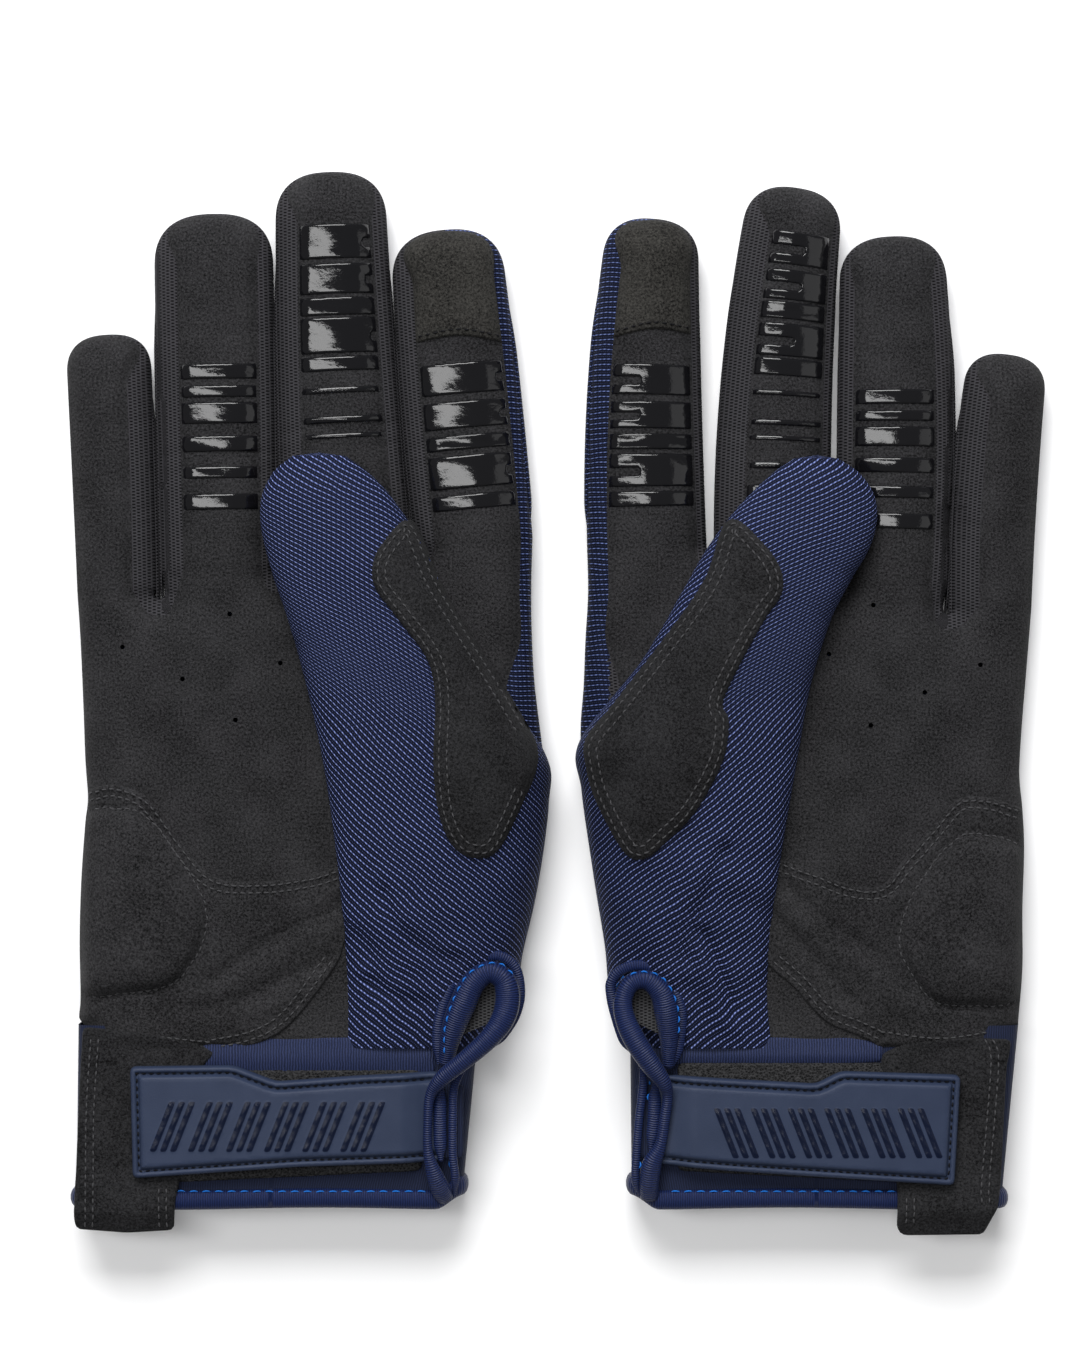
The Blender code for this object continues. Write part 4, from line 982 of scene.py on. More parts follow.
def make_materials():
    made = {
        "suede": suede("black suede", (0.0012, 0.0012, 0.0014), (0.036, 0.0355, 0.038)),
        "suede_tip": suede("brown-black suede", (0.0022, 0.0021, 0.0019), (0.043, 0.0415, 0.038)),
        "suede_dark": suede("deep black suede", (0.0008, 0.0008, 0.001), (0.026, 0.026, 0.028)),
        "side_mesh": mesh_knit("black side mesh", (0.001, 0.001, 0.0015), (0.036, 0.035, 0.039), 1.25, 0.72),
        "hole_mesh": mesh_knit("black lining mesh", (0.002, 0.002, 0.003), (0.05, 0.05, 0.053), 0.9, 0.7),
        # In the navy knits, the light colour is a painted highlight on the yarn dashes and the near-black colour is
        # painted shade between the rows.
        "edge_knit": rib_knit("navy edge knit", (0.002, 0.003, 0.009), (0.022, 0.034, 0.100),
                              (0.200, 0.260, 0.560), 1.15, 1.2),
        "back_knit": rib_knit("navy back knit", (0.002, 0.003, 0.009), (0.014, 0.022, 0.070),
                              (0.090, 0.120, 0.330)),
        "band": fine_rib("navy neoprene", (0.003, 0.005, 0.016), (0.010, 0.016, 0.045), 0.55, 0.75, 0.35),
        "lycra": fine_rib("navy lycra strip", (0.004, 0.007, 0.022), (0.022, 0.032, 0.090), 0.62, 0.6, 0.6),
        "tape": fine_rib("navy binding tape", (0.002, 0.005, 0.028), (0.010, 0.020, 0.080), 0.52, 0.45, 0.6),
        "rubber": moulded("slate navy rubber", (0.020, 0.029, 0.058), (0.024, 0.034, 0.066), 0.5),
        "rubber_dark": moulded("dark navy rubber", (0.0025, 0.005, 0.017), (0.003, 0.006, 0.020), 0.3),
        "silicone": glossy("silicone grip", (0.004, 0.004, 0.005)),
        "thread": thread("dark thread", (0.066, 0.066, 0.070)),
        "thread_black": thread("black thread", (0.004, 0.004, 0.006)),
        "thread_blue": thread("blue thread", (0.012, 0.17, 0.66), 0.4),
        "pile": pile("black pile", (0.001, 0.001, 0.001), (0.050, 0.050, 0.052)),
    }
    for hand in HANDS:
        # The thumb's knit likewise: its light colour is a painted highlight on the dashes, and its dark colour is
        # painted shade in the gaps.
        made["thumb_knit_" + hand] = rib_knit(
            "navy thumb knit " + hand, (0.002, 0.003, 0.010), (0.034, 0.050, 0.150), (0.360, 0.440, 0.880),
            turn=THUMB_ROWS_TURN)
    return made


# ---------------------------------------------------------------- parts of the hand
LABELS = 1 + 2 * len(FINGER_ORDER)   # the hand, then a bending piece and a tip piece for each finger


def finger_label(fingers, middle):
    """For each face, 0 on the hand, or 1 + 2 * finger + 0 for its bending piece or 1 for its tip piece."""
    label = np.zeros(len(middle), int)
    outside = []
    for name in FINGER_ORDER:
        t, x = fingers[name].local(middle)
        outside.append(np.abs(x) - fingers[name].half(np.clip(t, 0, 1)))
    nearest = np.argmin(outside, axis=0)
    for i, name in enumerate(FINGER_ORDER):
        for step, t in enumerate(fingers[name].cuts()):
            label[(nearest == i) & fingers[name].beyond(middle, t)] = 1 + 2 * i + step
    return label


def attach(glove, fingers, obj, label):
    """Rides or bends a piece with the segment that its label names."""
    if label == 0:
        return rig.ride(obj, glove.body("hand"))
    finger = fingers[FINGER_ORDER[(label - 1) // 2]]
    mid, tip = glove.body(finger.name + "_mid"), glove.body(finger.name + "_tip")
    if label % 2:
        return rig.blend(obj, glove.body("hand"), mid, *finger.bend(glove, "mid"))
    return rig.blend(obj, mid, tip, *finger.bend(glove, "tip"))


def label_name(label):
    if label == 0:
        return "hand"
    return FINGER_ORDER[(label - 1) // 2] + ("_knuckle" if label % 2 else "_tip")


def finger_cloth(fingers, verts):
    """(across, along) coordinates that follow each finger, for the strips beside the suede."""
    out = verts[:, :2].copy()
    best = np.full(len(verts), 1e9)
    for name in FINGER_ORDER:
        f = fingers[name]
        t, x = f.local(verts)
        near = (np.abs(x) < best) & (verts[:, 1] > f.points[0][1] - 45)
        best[near] = np.abs(x)[near]
        edge = np.sign(x[near]) * f.half(np.clip(t[near], 0, 1))
        out[near, 0] = (x[near] - edge) * 1.25 + np.sign(x[near]) * 40
        out[near, 1] = t[near] * f.length
    return out


def hand_sheets(glove, fingers, mats):
    """Palm side and back, cut into suede, side mesh and knit, and into the pieces that bend with each finger."""
    hand = glove.hand
    outer = hand_outline(hand, fingers)
    suede_edge = hand_outline(hand, fingers, inner=True)
    lines = [fingers[n].cut(t) for n in FINGER_ORDER for t in fingers[n].cuts()]
    lines = [line[inside(line, outer)] for line in lines]
    verts, faces = triangulate([outer, suede_edge], lines, holes=perforations(hand))
    edge, seam = distance_to(verts, outer), distance_to(verts, suede_edge)
    sides = np.roll(outer, -int(np.argmin(outer[:, 0] + 10 * outer[:, 1])), axis=0)
    sides = sides[sides[:, 1] > HAND_END_Y + 0.5]
    side = distance_to(verts, sides, closed=False)
    z = EDGE_HEIGHT + (LOFT - 0.1 - EDGE_HEIGHT) * puff(side, SIDE_ROUNDING)
    z -= 1.2 * smoothstep(1 - (verts[:, 1] - HAND_END_Y) / 0.9)
    z -= 1.0 * np.exp(-(seam / 0.8) ** 2) * smoothstep(edge / 1.6)
    z += (0.35 * wrinkle(verts, 17, 3.1 + glove.sign) + 0.14 * wrinkle(verts, 5, 9.7)) * smoothstep(edge / 5)
    z -= crease_depth(fingers, verts)
    top = np.column_stack([verts, z])
    normals = vertex_normals(top, faces)
    middle = verts[faces].mean(1)
    label = finger_label(fingers, middle)
    thumb_side, little_side = edge_zones(fingers, middle)
    on_suede = inside(middle, suede_edge) | little_side
    strip_cloth = finger_cloth(fingers, verts)
    stands_for = node_names(glove)
    for k in range(LABELS):
        part = label == k
        for kind, chosen, place, mat, slot in (
                ("suede", on_suede, verts, mats["suede"], "black_suede"),
                ("side_mesh", ~on_suede & ~thumb_side, strip_cloth, mats["side_mesh"], "black_mesh"),
                ("edge_knit", ~on_suede & thumb_side, strip_cloth, mats["edge_knit"], "navy_knit")):
            obj = glove.piece(f"{label_name(k)}_{kind}", top, faces, place, mat, slot, normals, part & chosen)
            if obj is not None:
                attach(glove, fingers, obj, k)
                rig.replaces(obj, *stands_for.get((kind, k), ()))
    back_sheet(glove, fingers, mats, outer, lines, stands_for)
    gussets(glove, fingers, mats)
    return Ground((top, faces)), top, faces


def gussets(glove, fingers, mats):
    """Rounded edge of the strip along each finger, which nearly meets its neighbour's."""
    for name in FINGER_ORDER:
        f = fingers[name]
        end = 1 - f.half(1.0) * 0.95 / f.length
        for sign, swell in zip((1, -1), GUSSET_SWELL[glove.hand][name]):
            if not swell:
                continue
            knit = name == "index" and sign > 0
            start = 0.03 if knit else -0.12
            t = np.linspace(start, end, 110)
            angle = np.linspace(-math.pi / 2, math.pi / 2, 9)
            edge = f.centre(t) + f.across(t) * ((f.half(t) - 0.25) * sign)[:, None]
            shrink = smoothstep((end - t) / 0.25) * smoothstep((t - start) / 0.12)
            out = np.outer(shrink * (swell + 0.25), np.cos(angle)) * sign
            flat = edge[:, None, :] + f.across(t)[:, None, :] * out[:, :, None]
            high = EDGE_HEIGHT - 0.3 + np.outer(0.3 + 1.7 * shrink, np.sin(angle))
            verts = np.dstack([flat, high]).reshape(-1, 3)
            faces = grid_faces(len(t), len(angle), False)
            if sign < 0:
                faces = faces[:, ::-1]
            faces = quads_to_triangles(faces)
            cloth = np.column_stack([np.tile(angle * 1.6, len(t)), np.repeat(t * f.length, len(angle))])
            at = np.repeat(t, len(angle))[faces].mean(1)
            first, second = f.cuts()
            label = np.where(at > first, 1 + 2 * FINGER_ORDER.index(name) + (at > second), 0)
            mat, slot = (mats["edge_knit"], "navy_knit") if knit else (mats["side_mesh"], "black_mesh")
            normals = vertex_normals(verts, faces)
            for k in range(LABELS):
                if (label == k).sum() > 3:
                    title = f"{name}_{label_name(k)}_gusset_{'thumb' if sign > 0 else 'little'}_side"
                    obj = glove.piece(title, verts, faces, cloth, mat, slot, normals, label == k)
                    attach(glove, fingers, obj, k)


def node_names(glove):
    """Which CAD nodes each piece of a sheet stands for."""
    h = glove.hand
    out = {("suede", 0): [f"{h}_palm_panel"], ("back", 0): [f"{h}_back_panel"],
           ("side_mesh", 0): [f"{h}_fourchette_{a}_{b}" for a, b in zip(FINGER_ORDER, FINGER_ORDER[1:])]}
    for i, name in enumerate(FINGER_ORDER):
        out["suede", 1 + 2 * i] = [f"{h}_{name}_mid_palm_face"]
        out["back", 1 + 2 * i] = [f"{h}_{name}_mid_back"]
        out["suede", 2 + 2 * i] = [f"{h}_{name}_tip"]
    return out


def crease_depth(fingers, verts):
    """Shallow folds across the knuckles, as cloth keeps from being worn."""
    depth = np.zeros(len(verts))
    for name in FINGER_ORDER:
        f = fingers[name]
        for t, deep in ((f.joint, 0.35), (f.joint - 0.05, 0.2), (f.tip_joint, 0.25), (0.0, 0.3)):
            c, d, n = f.centre(t), f.along(t), f.across(t)
            rel = verts - c
            x = rel @ n
            s = rel @ d + 0.6 * np.sin(x * 0.35 + t * 20)
            depth += deep * np.exp(-(s / 0.9) ** 2) * (np.abs(x) < float(f.half(t)) + 1)
    return depth


def edge_zones(fingers, middle):
    """Faces on the thumb side, where the knit of the back comes round the edge, and on the little side."""
    t = np.linspace(0, 1, 40)
    zones = []
    for name, low, sign in (("index", -12.0, 1), ("little", -100.0, -1)):
        f = fingers[name]
        line = np.interp(middle[:, 1], f.centre(t)[:, 1], f.centre(t)[:, 0])
        limit = np.where(middle[:, 1] > f.points[0][1], line, low)
        zones.append(sign * (middle[:, 0] - limit) > 0)
    return zones[0] & (middle[:, 1] > -70), zones[1] | (middle[:, 1] < -70)


def back_sheet(glove, fingers, mats, outer, lines, stands_for):
    """Knit back, which lies on the ground and rises to meet the palm side at the edge."""
    verts, faces = triangulate([outer], lines, spacing=3.0, rows=(0.5, 1.4, 2.8))
    edge = distance_to(verts, outer)
    z = EDGE_HEIGHT - (EDGE_HEIGHT - 0.3) * puff(edge, BACK_ROUNDING)
    z += 0.25 * (wrinkle(verts, 14, 5.5) + 1) * smoothstep(edge / 6)
    low = np.column_stack([verts, z])
    faces = faces[:, ::-1]
    normals = vertex_normals(low, faces)
    label = finger_label(fingers, verts[faces].mean(1))
    for k in range(LABELS):
        obj = glove.piece(f"{label_name(k)}_back", low, faces, verts, mats["back_knit"], "navy_knit", normals,
                          label == k)
        if obj is not None:
            attach(glove, fingers, obj, k)
            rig.replaces(obj, *stands_for.get(("back", k), ()))


def perforations(hand):
    """Ventilation holes punched in the palm."""
    turn = np.linspace(0, 2 * math.pi, 10, endpoint=False)
    ring = PERFORATION_RADIUS * np.stack([np.cos(turn), np.sin(turn)], axis=1)
    return [np.array(centre) + ring for centre in PERFORATIONS[hand]]


# ---------------------------------------------------------------- patches, stitches and silicone
def patch(outline, ground, thick, drop, spacing, roll, extra=None, lines=(), default=0.0):
    """A patch laid on the ground, closed by a skirt of depth drop. extra adds height from (points, edge)."""
    loop = resample_loop(np.asarray(outline, float), 0.9)
    verts, faces = triangulate([loop], lines, spacing=spacing, rows=(0.2, 0.55))
    edge = distance_to(verts, loop)
    base, _ = ground.height(verts, default)
    z = base + 0.05 + thick * puff(edge, roll, 2.0)
    if extra is not None:
        z = z + extra(verts, edge)
    return skirt(np.column_stack([verts, z]), faces, drop)


def skirt(verts, faces, drop):
    """Closes a patch downwards with a wall at its edge, so that its thickness shows from the side."""
    edges = {}
    for f in faces:
        for a, b in ((f[0], f[1]), (f[1], f[2]), (f[2], f[0])):
            if (b, a) in edges:
                del edges[b, a]
            else:
                edges[a, b] = True
    rim = sorted({i for pair in edges for i in pair})
    below = {i: len(verts) + k for k, i in enumerate(rim)}
    low = verts[rim] - np.array([0, 0, drop])
    walls = [t for a, b in edges for t in ((b, a, below[a]), (b, below[a], below[b]))]
    return np.vstack([verts, low]), np.vstack([faces, np.array(walls)])


STITCH_SECTION = 6           # corners of a stitch's section
STITCH_PROFILE = ((-0.5, 0.25), (-0.3, 0.85), (0.0, 1.0), (0.3, 0.85), (0.5, 0.25))   # place along, width
STITCH_WIDTH = 0.42
STITCH_WOBBLE = 0.12         # most that a stitch turns aside, in radians
LOOSE_STITCH_HEIGHT = 14.0   # where there is nothing below the stitch


def stitch_row(path, ground, pitch=1.75, length=1.3, high=0.26, lift=0.05, seed=1):
    """Short threads along a path: each a lens-shaped bead that dips into the cloth at both ends."""
    rng = random.Random(seed)
    at = resample(np.asarray(path, float), pitch)
    if len(at) < 3:
        return None
    tangent = np.gradient(at[:, :2], axis=0)
    tangent /= np.maximum(np.linalg.norm(tangent, axis=1), 1e-9)[:, None]
    z, tilt = ground.height(at[:, :2], LOOSE_STITCH_HEIGHT)
    verts, faces, cloth = [], [], []
    for i, (p, d) in enumerate(zip(at, tangent)):
        a = rng.uniform(-STITCH_WOBBLE, STITCH_WOBBLE)
        d = np.array([d[0] * math.cos(a) - d[1] * math.sin(a), d[0] * math.sin(a) + d[1] * math.cos(a), 0])
        n = tilt[i]
        d = d - n * (d @ n)
        d /= np.linalg.norm(d)
        s = np.cross(n, d)
        centre = np.array([p[0], p[1], z[i]]) + n * lift
        base = len(verts)
        for along, size in STITCH_PROFILE:
            c = centre + d * along * length + n * (high * (1 - (2 * along) ** 2) - 0.12)
            for j in range(STITCH_SECTION):
                angle = j * 2 * math.pi / STITCH_SECTION
                q = c + (s * math.cos(angle) + n * math.sin(angle)) * STITCH_WIDTH / 2 * size
                verts.append(q)
                cloth.append((q[0], q[1], q[2]))
        for k in range(len(STITCH_PROFILE) - 1):
            for j in range(STITCH_SECTION):
                m = (j + 1) % STITCH_SECTION
                r, t = base + k * STITCH_SECTION, base + (k + 1) * STITCH_SECTION
                faces += [(r + m, r + j, t + j), (r + m, t + j, t + m)]
        for k in range(1, STITCH_SECTION - 1):
            faces.append((base, base + k, base + k + 1))
            t = base + (len(STITCH_PROFILE) - 1) * STITCH_SECTION
            faces.append((t, t + k + 1, t + k))
    return np.array(verts), np.array(faces, int), np.array(cloth)


def offset_path(path, distance):
    """A path moved sideways, to its left."""
    return path[:, :2] + leftwards(np.gradient(path[:, :2], axis=0)) * distance


def heel(glove, ground, mats):
    """Heel overlay with its padded lobe, stitched round."""
    hand = glove.hand
    loop = spline(HEEL_OVERLAY[hand], 1.0, closed=True)
    pad = spline(HEEL_PAD[hand], 1.0, closed=True)

    def swell(points, edge):
        pad_edge = np.where(inside(points, pad), distance_to(points, pad), 0)
        groove = 0.65 * np.exp(-(distance_to(points, pad) / 0.8) ** 2)
        rows = 0.3 * np.exp(-((edge - 1.8) / 1.1) ** 2)
        fold = 0.35 * wrinkle(points, 9, 2.2 + glove.sign) + 0.2 * wrinkle(points, 3.5, 6.1)
        fold += crease(points, FOLDS[hand]["heel"]) * (1 - smoothstep(pad_edge / 3))
        return (2.9 * puff(pad_edge, 11, 2.0) - groove - rows + fold) * smoothstep(edge / 2.0)

    verts, faces = patch(loop, ground, 0.75, 0.7, 1.2, 0.8, swell, [close(pad)], EDGE_HEIGHT)
    verts[:, 0] = np.maximum(verts[:, 0], np.interp(verts[:, 1], *side_limits(hand)))
    obj = glove.piece("heel_overlay", verts, faces, verts, mats["suede"], "black_suede")
    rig.ride(obj, glove.body("hand"))
    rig.replaces(obj, f"{hand}_heel_overlay", f"{hand}_heel_foam")
    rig.padded(obj, fill=0.5)
    sheet = verts, faces
    top = Ground(sheet)
    seam = loop[(loop[:, 1] > -42.5) & (loop[:, 0] < -46) & (loop[:, 0] > -105)]
    seam = seam[np.argsort(seam[:, 0])]
    rows = [stitch_row(offset_path(seam, -1.0), top, seed=3), stitch_row(offset_path(seam, -2.6), top, seed=4)]
    rows.append(stitch_row(from_gap(pad[pad[:, 0] > -104]), top, seed=5))
    low = spline(HEEL_OVERLAY[hand][HEEL_LOW_EDGE[hand]], 1.0)
    rows += [stitch_row(offset_path(low, -1.4), top, seed=6), stitch_row(offset_path(low, -3.2), top, seed=7)]
    base = spline([(low[-1][0] - 2.0, low[-1][1] + 2.6), (-86.0, -75.2), (-97.0, -74.0), (-103.5, -73.6)], 1.0)
    rows.append(stitch_row(base, top, seed=8))
    obj = glove.stitching("heel_stitching", rows, mats["thread"], "black_suede")
    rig.ride(obj, glove.body("hand"))
    return sheet


def side_limits(hand):
    """The little side of the hand as (y, u), y rising, a little inside its edge."""
    line = np.array(LITTLE_SIDE[hand])
    order = np.argsort(line[:, 1])
    return line[order, 1], line[order, 0] + 0.15


def silicone(glove, fingers, ground, mats):
    """Printed grip bars across the suede of three fingers."""
    for name, bars in SILICONE[glove.hand].items():
        f = fingers[name]
        rng = random.Random(len(name) + glove.sign)
        groups = {}
        for low, high in bars:
            t_low, t_high = ((y - f.points[0][1]) / (f.points[2][1] - f.points[0][1]) for y in (low, high))
            t = np.linspace(t_low, t_high, 5)
            wide = min(1.0, 0.35 + (high - low) / 5)
            right = f.half(t) - f.strips[0] - 0.5 - rng.uniform(0, 1.2) * (1 - wide)
            left = f.half(t) - f.strips[1] - 0.5 - rng.uniform(0, 1.2) * (1 - wide)
            thumb = f.centre(t) + f.across(t) * right[:, None]
            little = f.centre(t) - f.across(t) * left[:, None]
            if high - low > 5.5:   # wide bars are notched on the thumb side
                thumb = notch(thumb, f, t, rng.uniform(*NOTCH_DEPTH[glove.hand]))
            loop = np.vstack([thumb, little[::-1]])
            verts, faces = patch(loop, ground, 0.34, 0.3, 0.9, 0.45, default=13.0)
            middle = (t_low + t_high) / 2
            label = 1 + 2 * FINGER_ORDER.index(name) + (1 if middle > f.cuts()[1] else 0)
            groups.setdefault(label, []).append((verts, faces, verts))
        for label, parts in groups.items():
            verts, faces, cloth = join_parts(parts)
            title = f"{label_name(label)}_silicone"
            obj = glove.piece(title, verts, faces, cloth, mats["silicone"], "navy_rubber")
            attach(glove, fingers, obj, label)


def notch(thumb, finger, t, deep):
    """The thumb side of a grip bar with a small step cut into it."""
    side = finger.across(t)
    low, high = thumb[1] + (thumb[2] - thumb[1]) * 0.3, thumb[2] + (thumb[3] - thumb[2]) * 0.3
    cut = [low, low - side[1] * deep, high - side[2] * deep, high]
    return np.vstack([thumb[:2], cut, thumb[3:]])


def index_overlay(glove, fingers, ground, mats):
    """Touch-screen overlay on the index fingertip, with a stitched lower edge."""
    f = fingers["index"]
    outline = f.outline(inner=True)
    start = f.centre(f.tip_joint + 0.8 / f.length)
    top = outline[outline[:, 1] > start[1]]
    left, right = top[-1], top[0]
    bow = spline([left, (left + right) / 2 + np.array([0, 1.3]), right], 1.0)[1:-1]
    loop = np.vstack([top, bow])
    verts, faces = patch(loop, ground, 0.65, 0.5, 1.0, 0.7, default=12.0)
    obj = glove.piece("index_tip_overlay", verts, faces, verts, mats["suede_tip"], "black_suede")
    attach(glove, fingers, obj, 2)
    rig.replaces(obj, f"{glove.hand}_index_tip_overlay")
    on = Ground((verts, faces))
    row = spline([left + np.array([1.0, 1.4]), (left + right) / 2 + np.array([0, 2.7]),
                  right + np.array([-1.0, 1.4])], 0.8)
    obj = glove.stitching("index_overlay_stitching", [stitch_row(row, on, seed=12)], mats["thread_black"],
                          "black_suede")
    attach(glove, fingers, obj, 2)


# ---------------------------------------------------------------- thumb
def thumb_rings(glove):
    """Rings of the thumb, from the cuff to its tip, each from the left foot over the ridge and back below."""
    rows = spline([(*left, *right, *heights) for left, right, *heights in THUMB[glove.hand]], 1.0)
    rings, cloth = [], []
    along = 0.0
    previous = None
    for row in rows:
        left, right, (top, left_z, right_z) = row[:2], row[2:4], row[4:]
        centre, reach = (left + right) / 2, (right - left) / 2
        if previous is not None:
            along += np.linalg.norm(centre - previous)
        previous = centre
        angle = math.pi * (1 - np.linspace(0, 1, THUMB_OVER))
        x = np.sign(np.cos(angle)) * np.abs(np.cos(angle)) ** 0.86
        lift = np.abs(np.sin(angle)) ** 0.86
        foot = np.where(x < 0, left_z, right_z)
        z = foot + (top - foot) * lift
        upper = np.column_stack([centre + np.outer(x, reach), z])
        below = np.linspace(1, 0, THUMB_UNDER + 2)[1:-1]
        z = right_z * below + left_z * (1 - below) - 1.0 * np.sin(math.pi * below)
        lower = np.column_stack([centre + np.outer(below * 2 - 1, reach), z])
        rings.append(np.vstack([upper, lower]))
        arc = np.concatenate([[0], np.cumsum(np.linalg.norm(np.diff(upper, axis=0), axis=1))])
        arc -= arc[len(arc) // 2]
        width = np.concatenate([arc, arc[-1] + np.arange(1, len(lower) + 1)])
        cloth.append(np.column_stack([width, np.full(len(width), along)]))
    return np.array(rings), np.array(cloth)


def thumb(glove, mats):
    rings, cloth = thumb_rings(glove)
    n, m = rings.shape[:2]
    flat = rings.reshape(-1, 3)
    y, u = flat[:, 1], flat[:, 0]
    folds = 0.55 * wrinkle(np.column_stack([u * 0.55 - y * 0.3, y]), 8.5, 4.2 + glove.sign)
    strength = (0.5 + 1.1 * np.exp(-((y + 52) / 17) ** 2)) * (1.7 if glove.hand == "left" else 1.0)
    faces = grid_faces(n, m, True)
    normals = vertex_normals(flat, faces)
    folds = folds * strength + crease(flat[:, :2], FOLDS[glove.hand]["thumb"])
    flat = flat + normals * (folds * smoothstep((flat[:, 2] - 13.8) / 3.5))[:, None]
    tip = len(flat)
    end = rings[-1].mean(0) + np.array([0, 0.6, 0])
    flat = np.vstack([flat, end])
    cloth = np.vstack([cloth.reshape(-1, 2), cloth[-1].mean(0) + np.array([0, 3.0])])
    cap = [((n - 1) * m + k, (n - 1) * m + (k + 1) % m, tip, tip) for k in range(m)]
    faces = quads_to_triangles(list(map(tuple, faces)) + cap)
    obj = glove.piece("thumb_knit", flat, faces, cloth, mats["thumb_knit_" + glove.hand], "navy_knit")
    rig.replaces(obj, f"{glove.hand}_thumb_back", f"{glove.hand}_thumb_suede")
    bend_thumb(glove, obj)
    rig.padded(obj, fill=0.3)
    ground = Ground((flat, faces))
    thumb_patch(glove, ground, mats)
    return ground


def grid_faces(rows, columns, closed):
    i, k = np.meshgrid(np.arange(rows - 1), np.arange(columns if closed else columns - 1), indexing="ij")
    j = (k + 1) % columns
    return np.stack([i * columns + k, i * columns + j, (i + 1) * columns + j, (i + 1) * columns + k],
                    axis=-1).reshape(-1, 4)


def bend_thumb(glove, obj):
    """The thumb lifts at its root: the cloth follows over a stretch on each side of the hinge."""
    joint = next(j for j in frame["joints"] if j["name"] == f"{glove.hand}_thumb_lift")
    pivot, axis = Vector(joint["pos_m"]), Vector(joint["axis"])
    ahead = Vector((0, 0, 1)).cross(axis)
    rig.blend(obj, glove.body("hand"), glove.body("thumb"), pivot - ahead * 0.011, pivot + ahead * 0.009)


def thumb_patch(glove, ground, mats):
    """Suede over the thumb's side, double stitched where it is sewn on the knit."""
    loop = spline(THUMB_PATCH[glove.hand], 1.0, closed=True)

    def sunk(points, edge):
        folds = 0.25 * wrinkle(points, 7, 8.8 + glove.sign) + 0.12 * wrinkle(points, 3, 1.4)
        return (0.8 + folds - 0.22 * np.exp(-((edge - 1.4) / 0.4) ** 2)) * smoothstep(edge / 1.5)

    verts, faces = patch(loop, ground, 0.8, 0.8, 1.0, 0.8, sunk, default=15.0)
    obj = glove.piece("thumb_patch", verts, faces, verts, mats["suede_dark"], "black_suede")
    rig.replaces(obj, f"{glove.hand}_thumb_patch")
    bend_thumb(glove, obj)
    on = Ground((verts, faces))
    sewn = from_gap(loop[loop[:, 0] < -6])
    turn = turn_of(loop)
    rows = [stitch_row(offset_path(sewn, turn * d), on, seed=20 + k) for k, d in enumerate((1.3, 3.0))]
    bend_thumb(glove, glove.stitching("thumb_stitching", rows, mats["thread"], "black_suede"))


# ---------------------------------------------------------------- cuff
def cuff_line(glove, y):
    """Closed line round the cuff at a place along the arm, evenly spaced, starting on the palm side."""
    (low_top, high_top), (low_end, high_end) = CUFF_SIDES[glove.hand]
    share = (y - CUFF_TOP_Y) / (CUFF_END_Y - CUFF_TOP_Y)
    low = low_top + (low_end - low_top) * share
    high = high_top + (high_end - high_top) * share
    a, b = (high - low) / 2, 6.55
    angle = np.linspace(0, 2 * math.pi, 1200, endpoint=False) + math.pi / 2
    c, s = np.cos(angle), np.sin(angle)
    x = np.sign(c) * np.abs(c) ** 0.16 * a
    z = np.sign(s) * np.abs(s) ** 0.42 * b
    loop = np.column_stack([(low + high) / 2 + x, 6.95 + z])
    return resample_loop(loop, (2 * np.pi * 0.62 * a + 4 * b) / CUFF_POINTS)


def cuff(glove, mats):
    ys = np.arange(CUFF_TOP_Y, CUFF_END_Y, -1.5)
    count = min(len(cuff_line(glove, y)) for y in ys)
    rings, cloth = [], []
    for y in ys:
        line = cuff_line(glove, y)
        line = resample(close(line), perimeter(line) / count)[:count]
        rings.append(np.column_stack([line[:, 0], np.full(count, y), line[:, 1]]))
        cloth.append(np.column_stack([np.arange(count) * perimeter(line) / count, np.full(count, y)]))
    rings = np.array(rings)
    n, m = rings.shape[:2]
    flat = rings.reshape(-1, 3)
    ripple = 0.25 * wrinkle(flat[:, :2], 10, 1.7) * smoothstep((flat[:, 2] - 8) / 4)
    flat = flat + np.column_stack([np.zeros(len(flat)), np.zeros(len(flat)), ripple])
    faces = quads_to_triangles(list(map(tuple, grid_faces(n, m, True))))
    normals = vertex_normals(flat, faces)
    if (normals * (flat - flat.mean(0)))[:, 2].sum() < 0:
        faces = faces[:, ::-1]
    obj = glove.piece("cuff_band", flat, faces, np.array(cloth).reshape(-1, 2), mats["band"], "navy_neoprene")
    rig.ride(obj, glove.body("hand"))
    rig.replaces(obj, f"{glove.hand}_cuff_band")
    return Ground((flat, faces)), flat, faces


def perimeter(line):
    return np.linalg.norm(np.diff(close(line), axis=0), axis=1).sum()


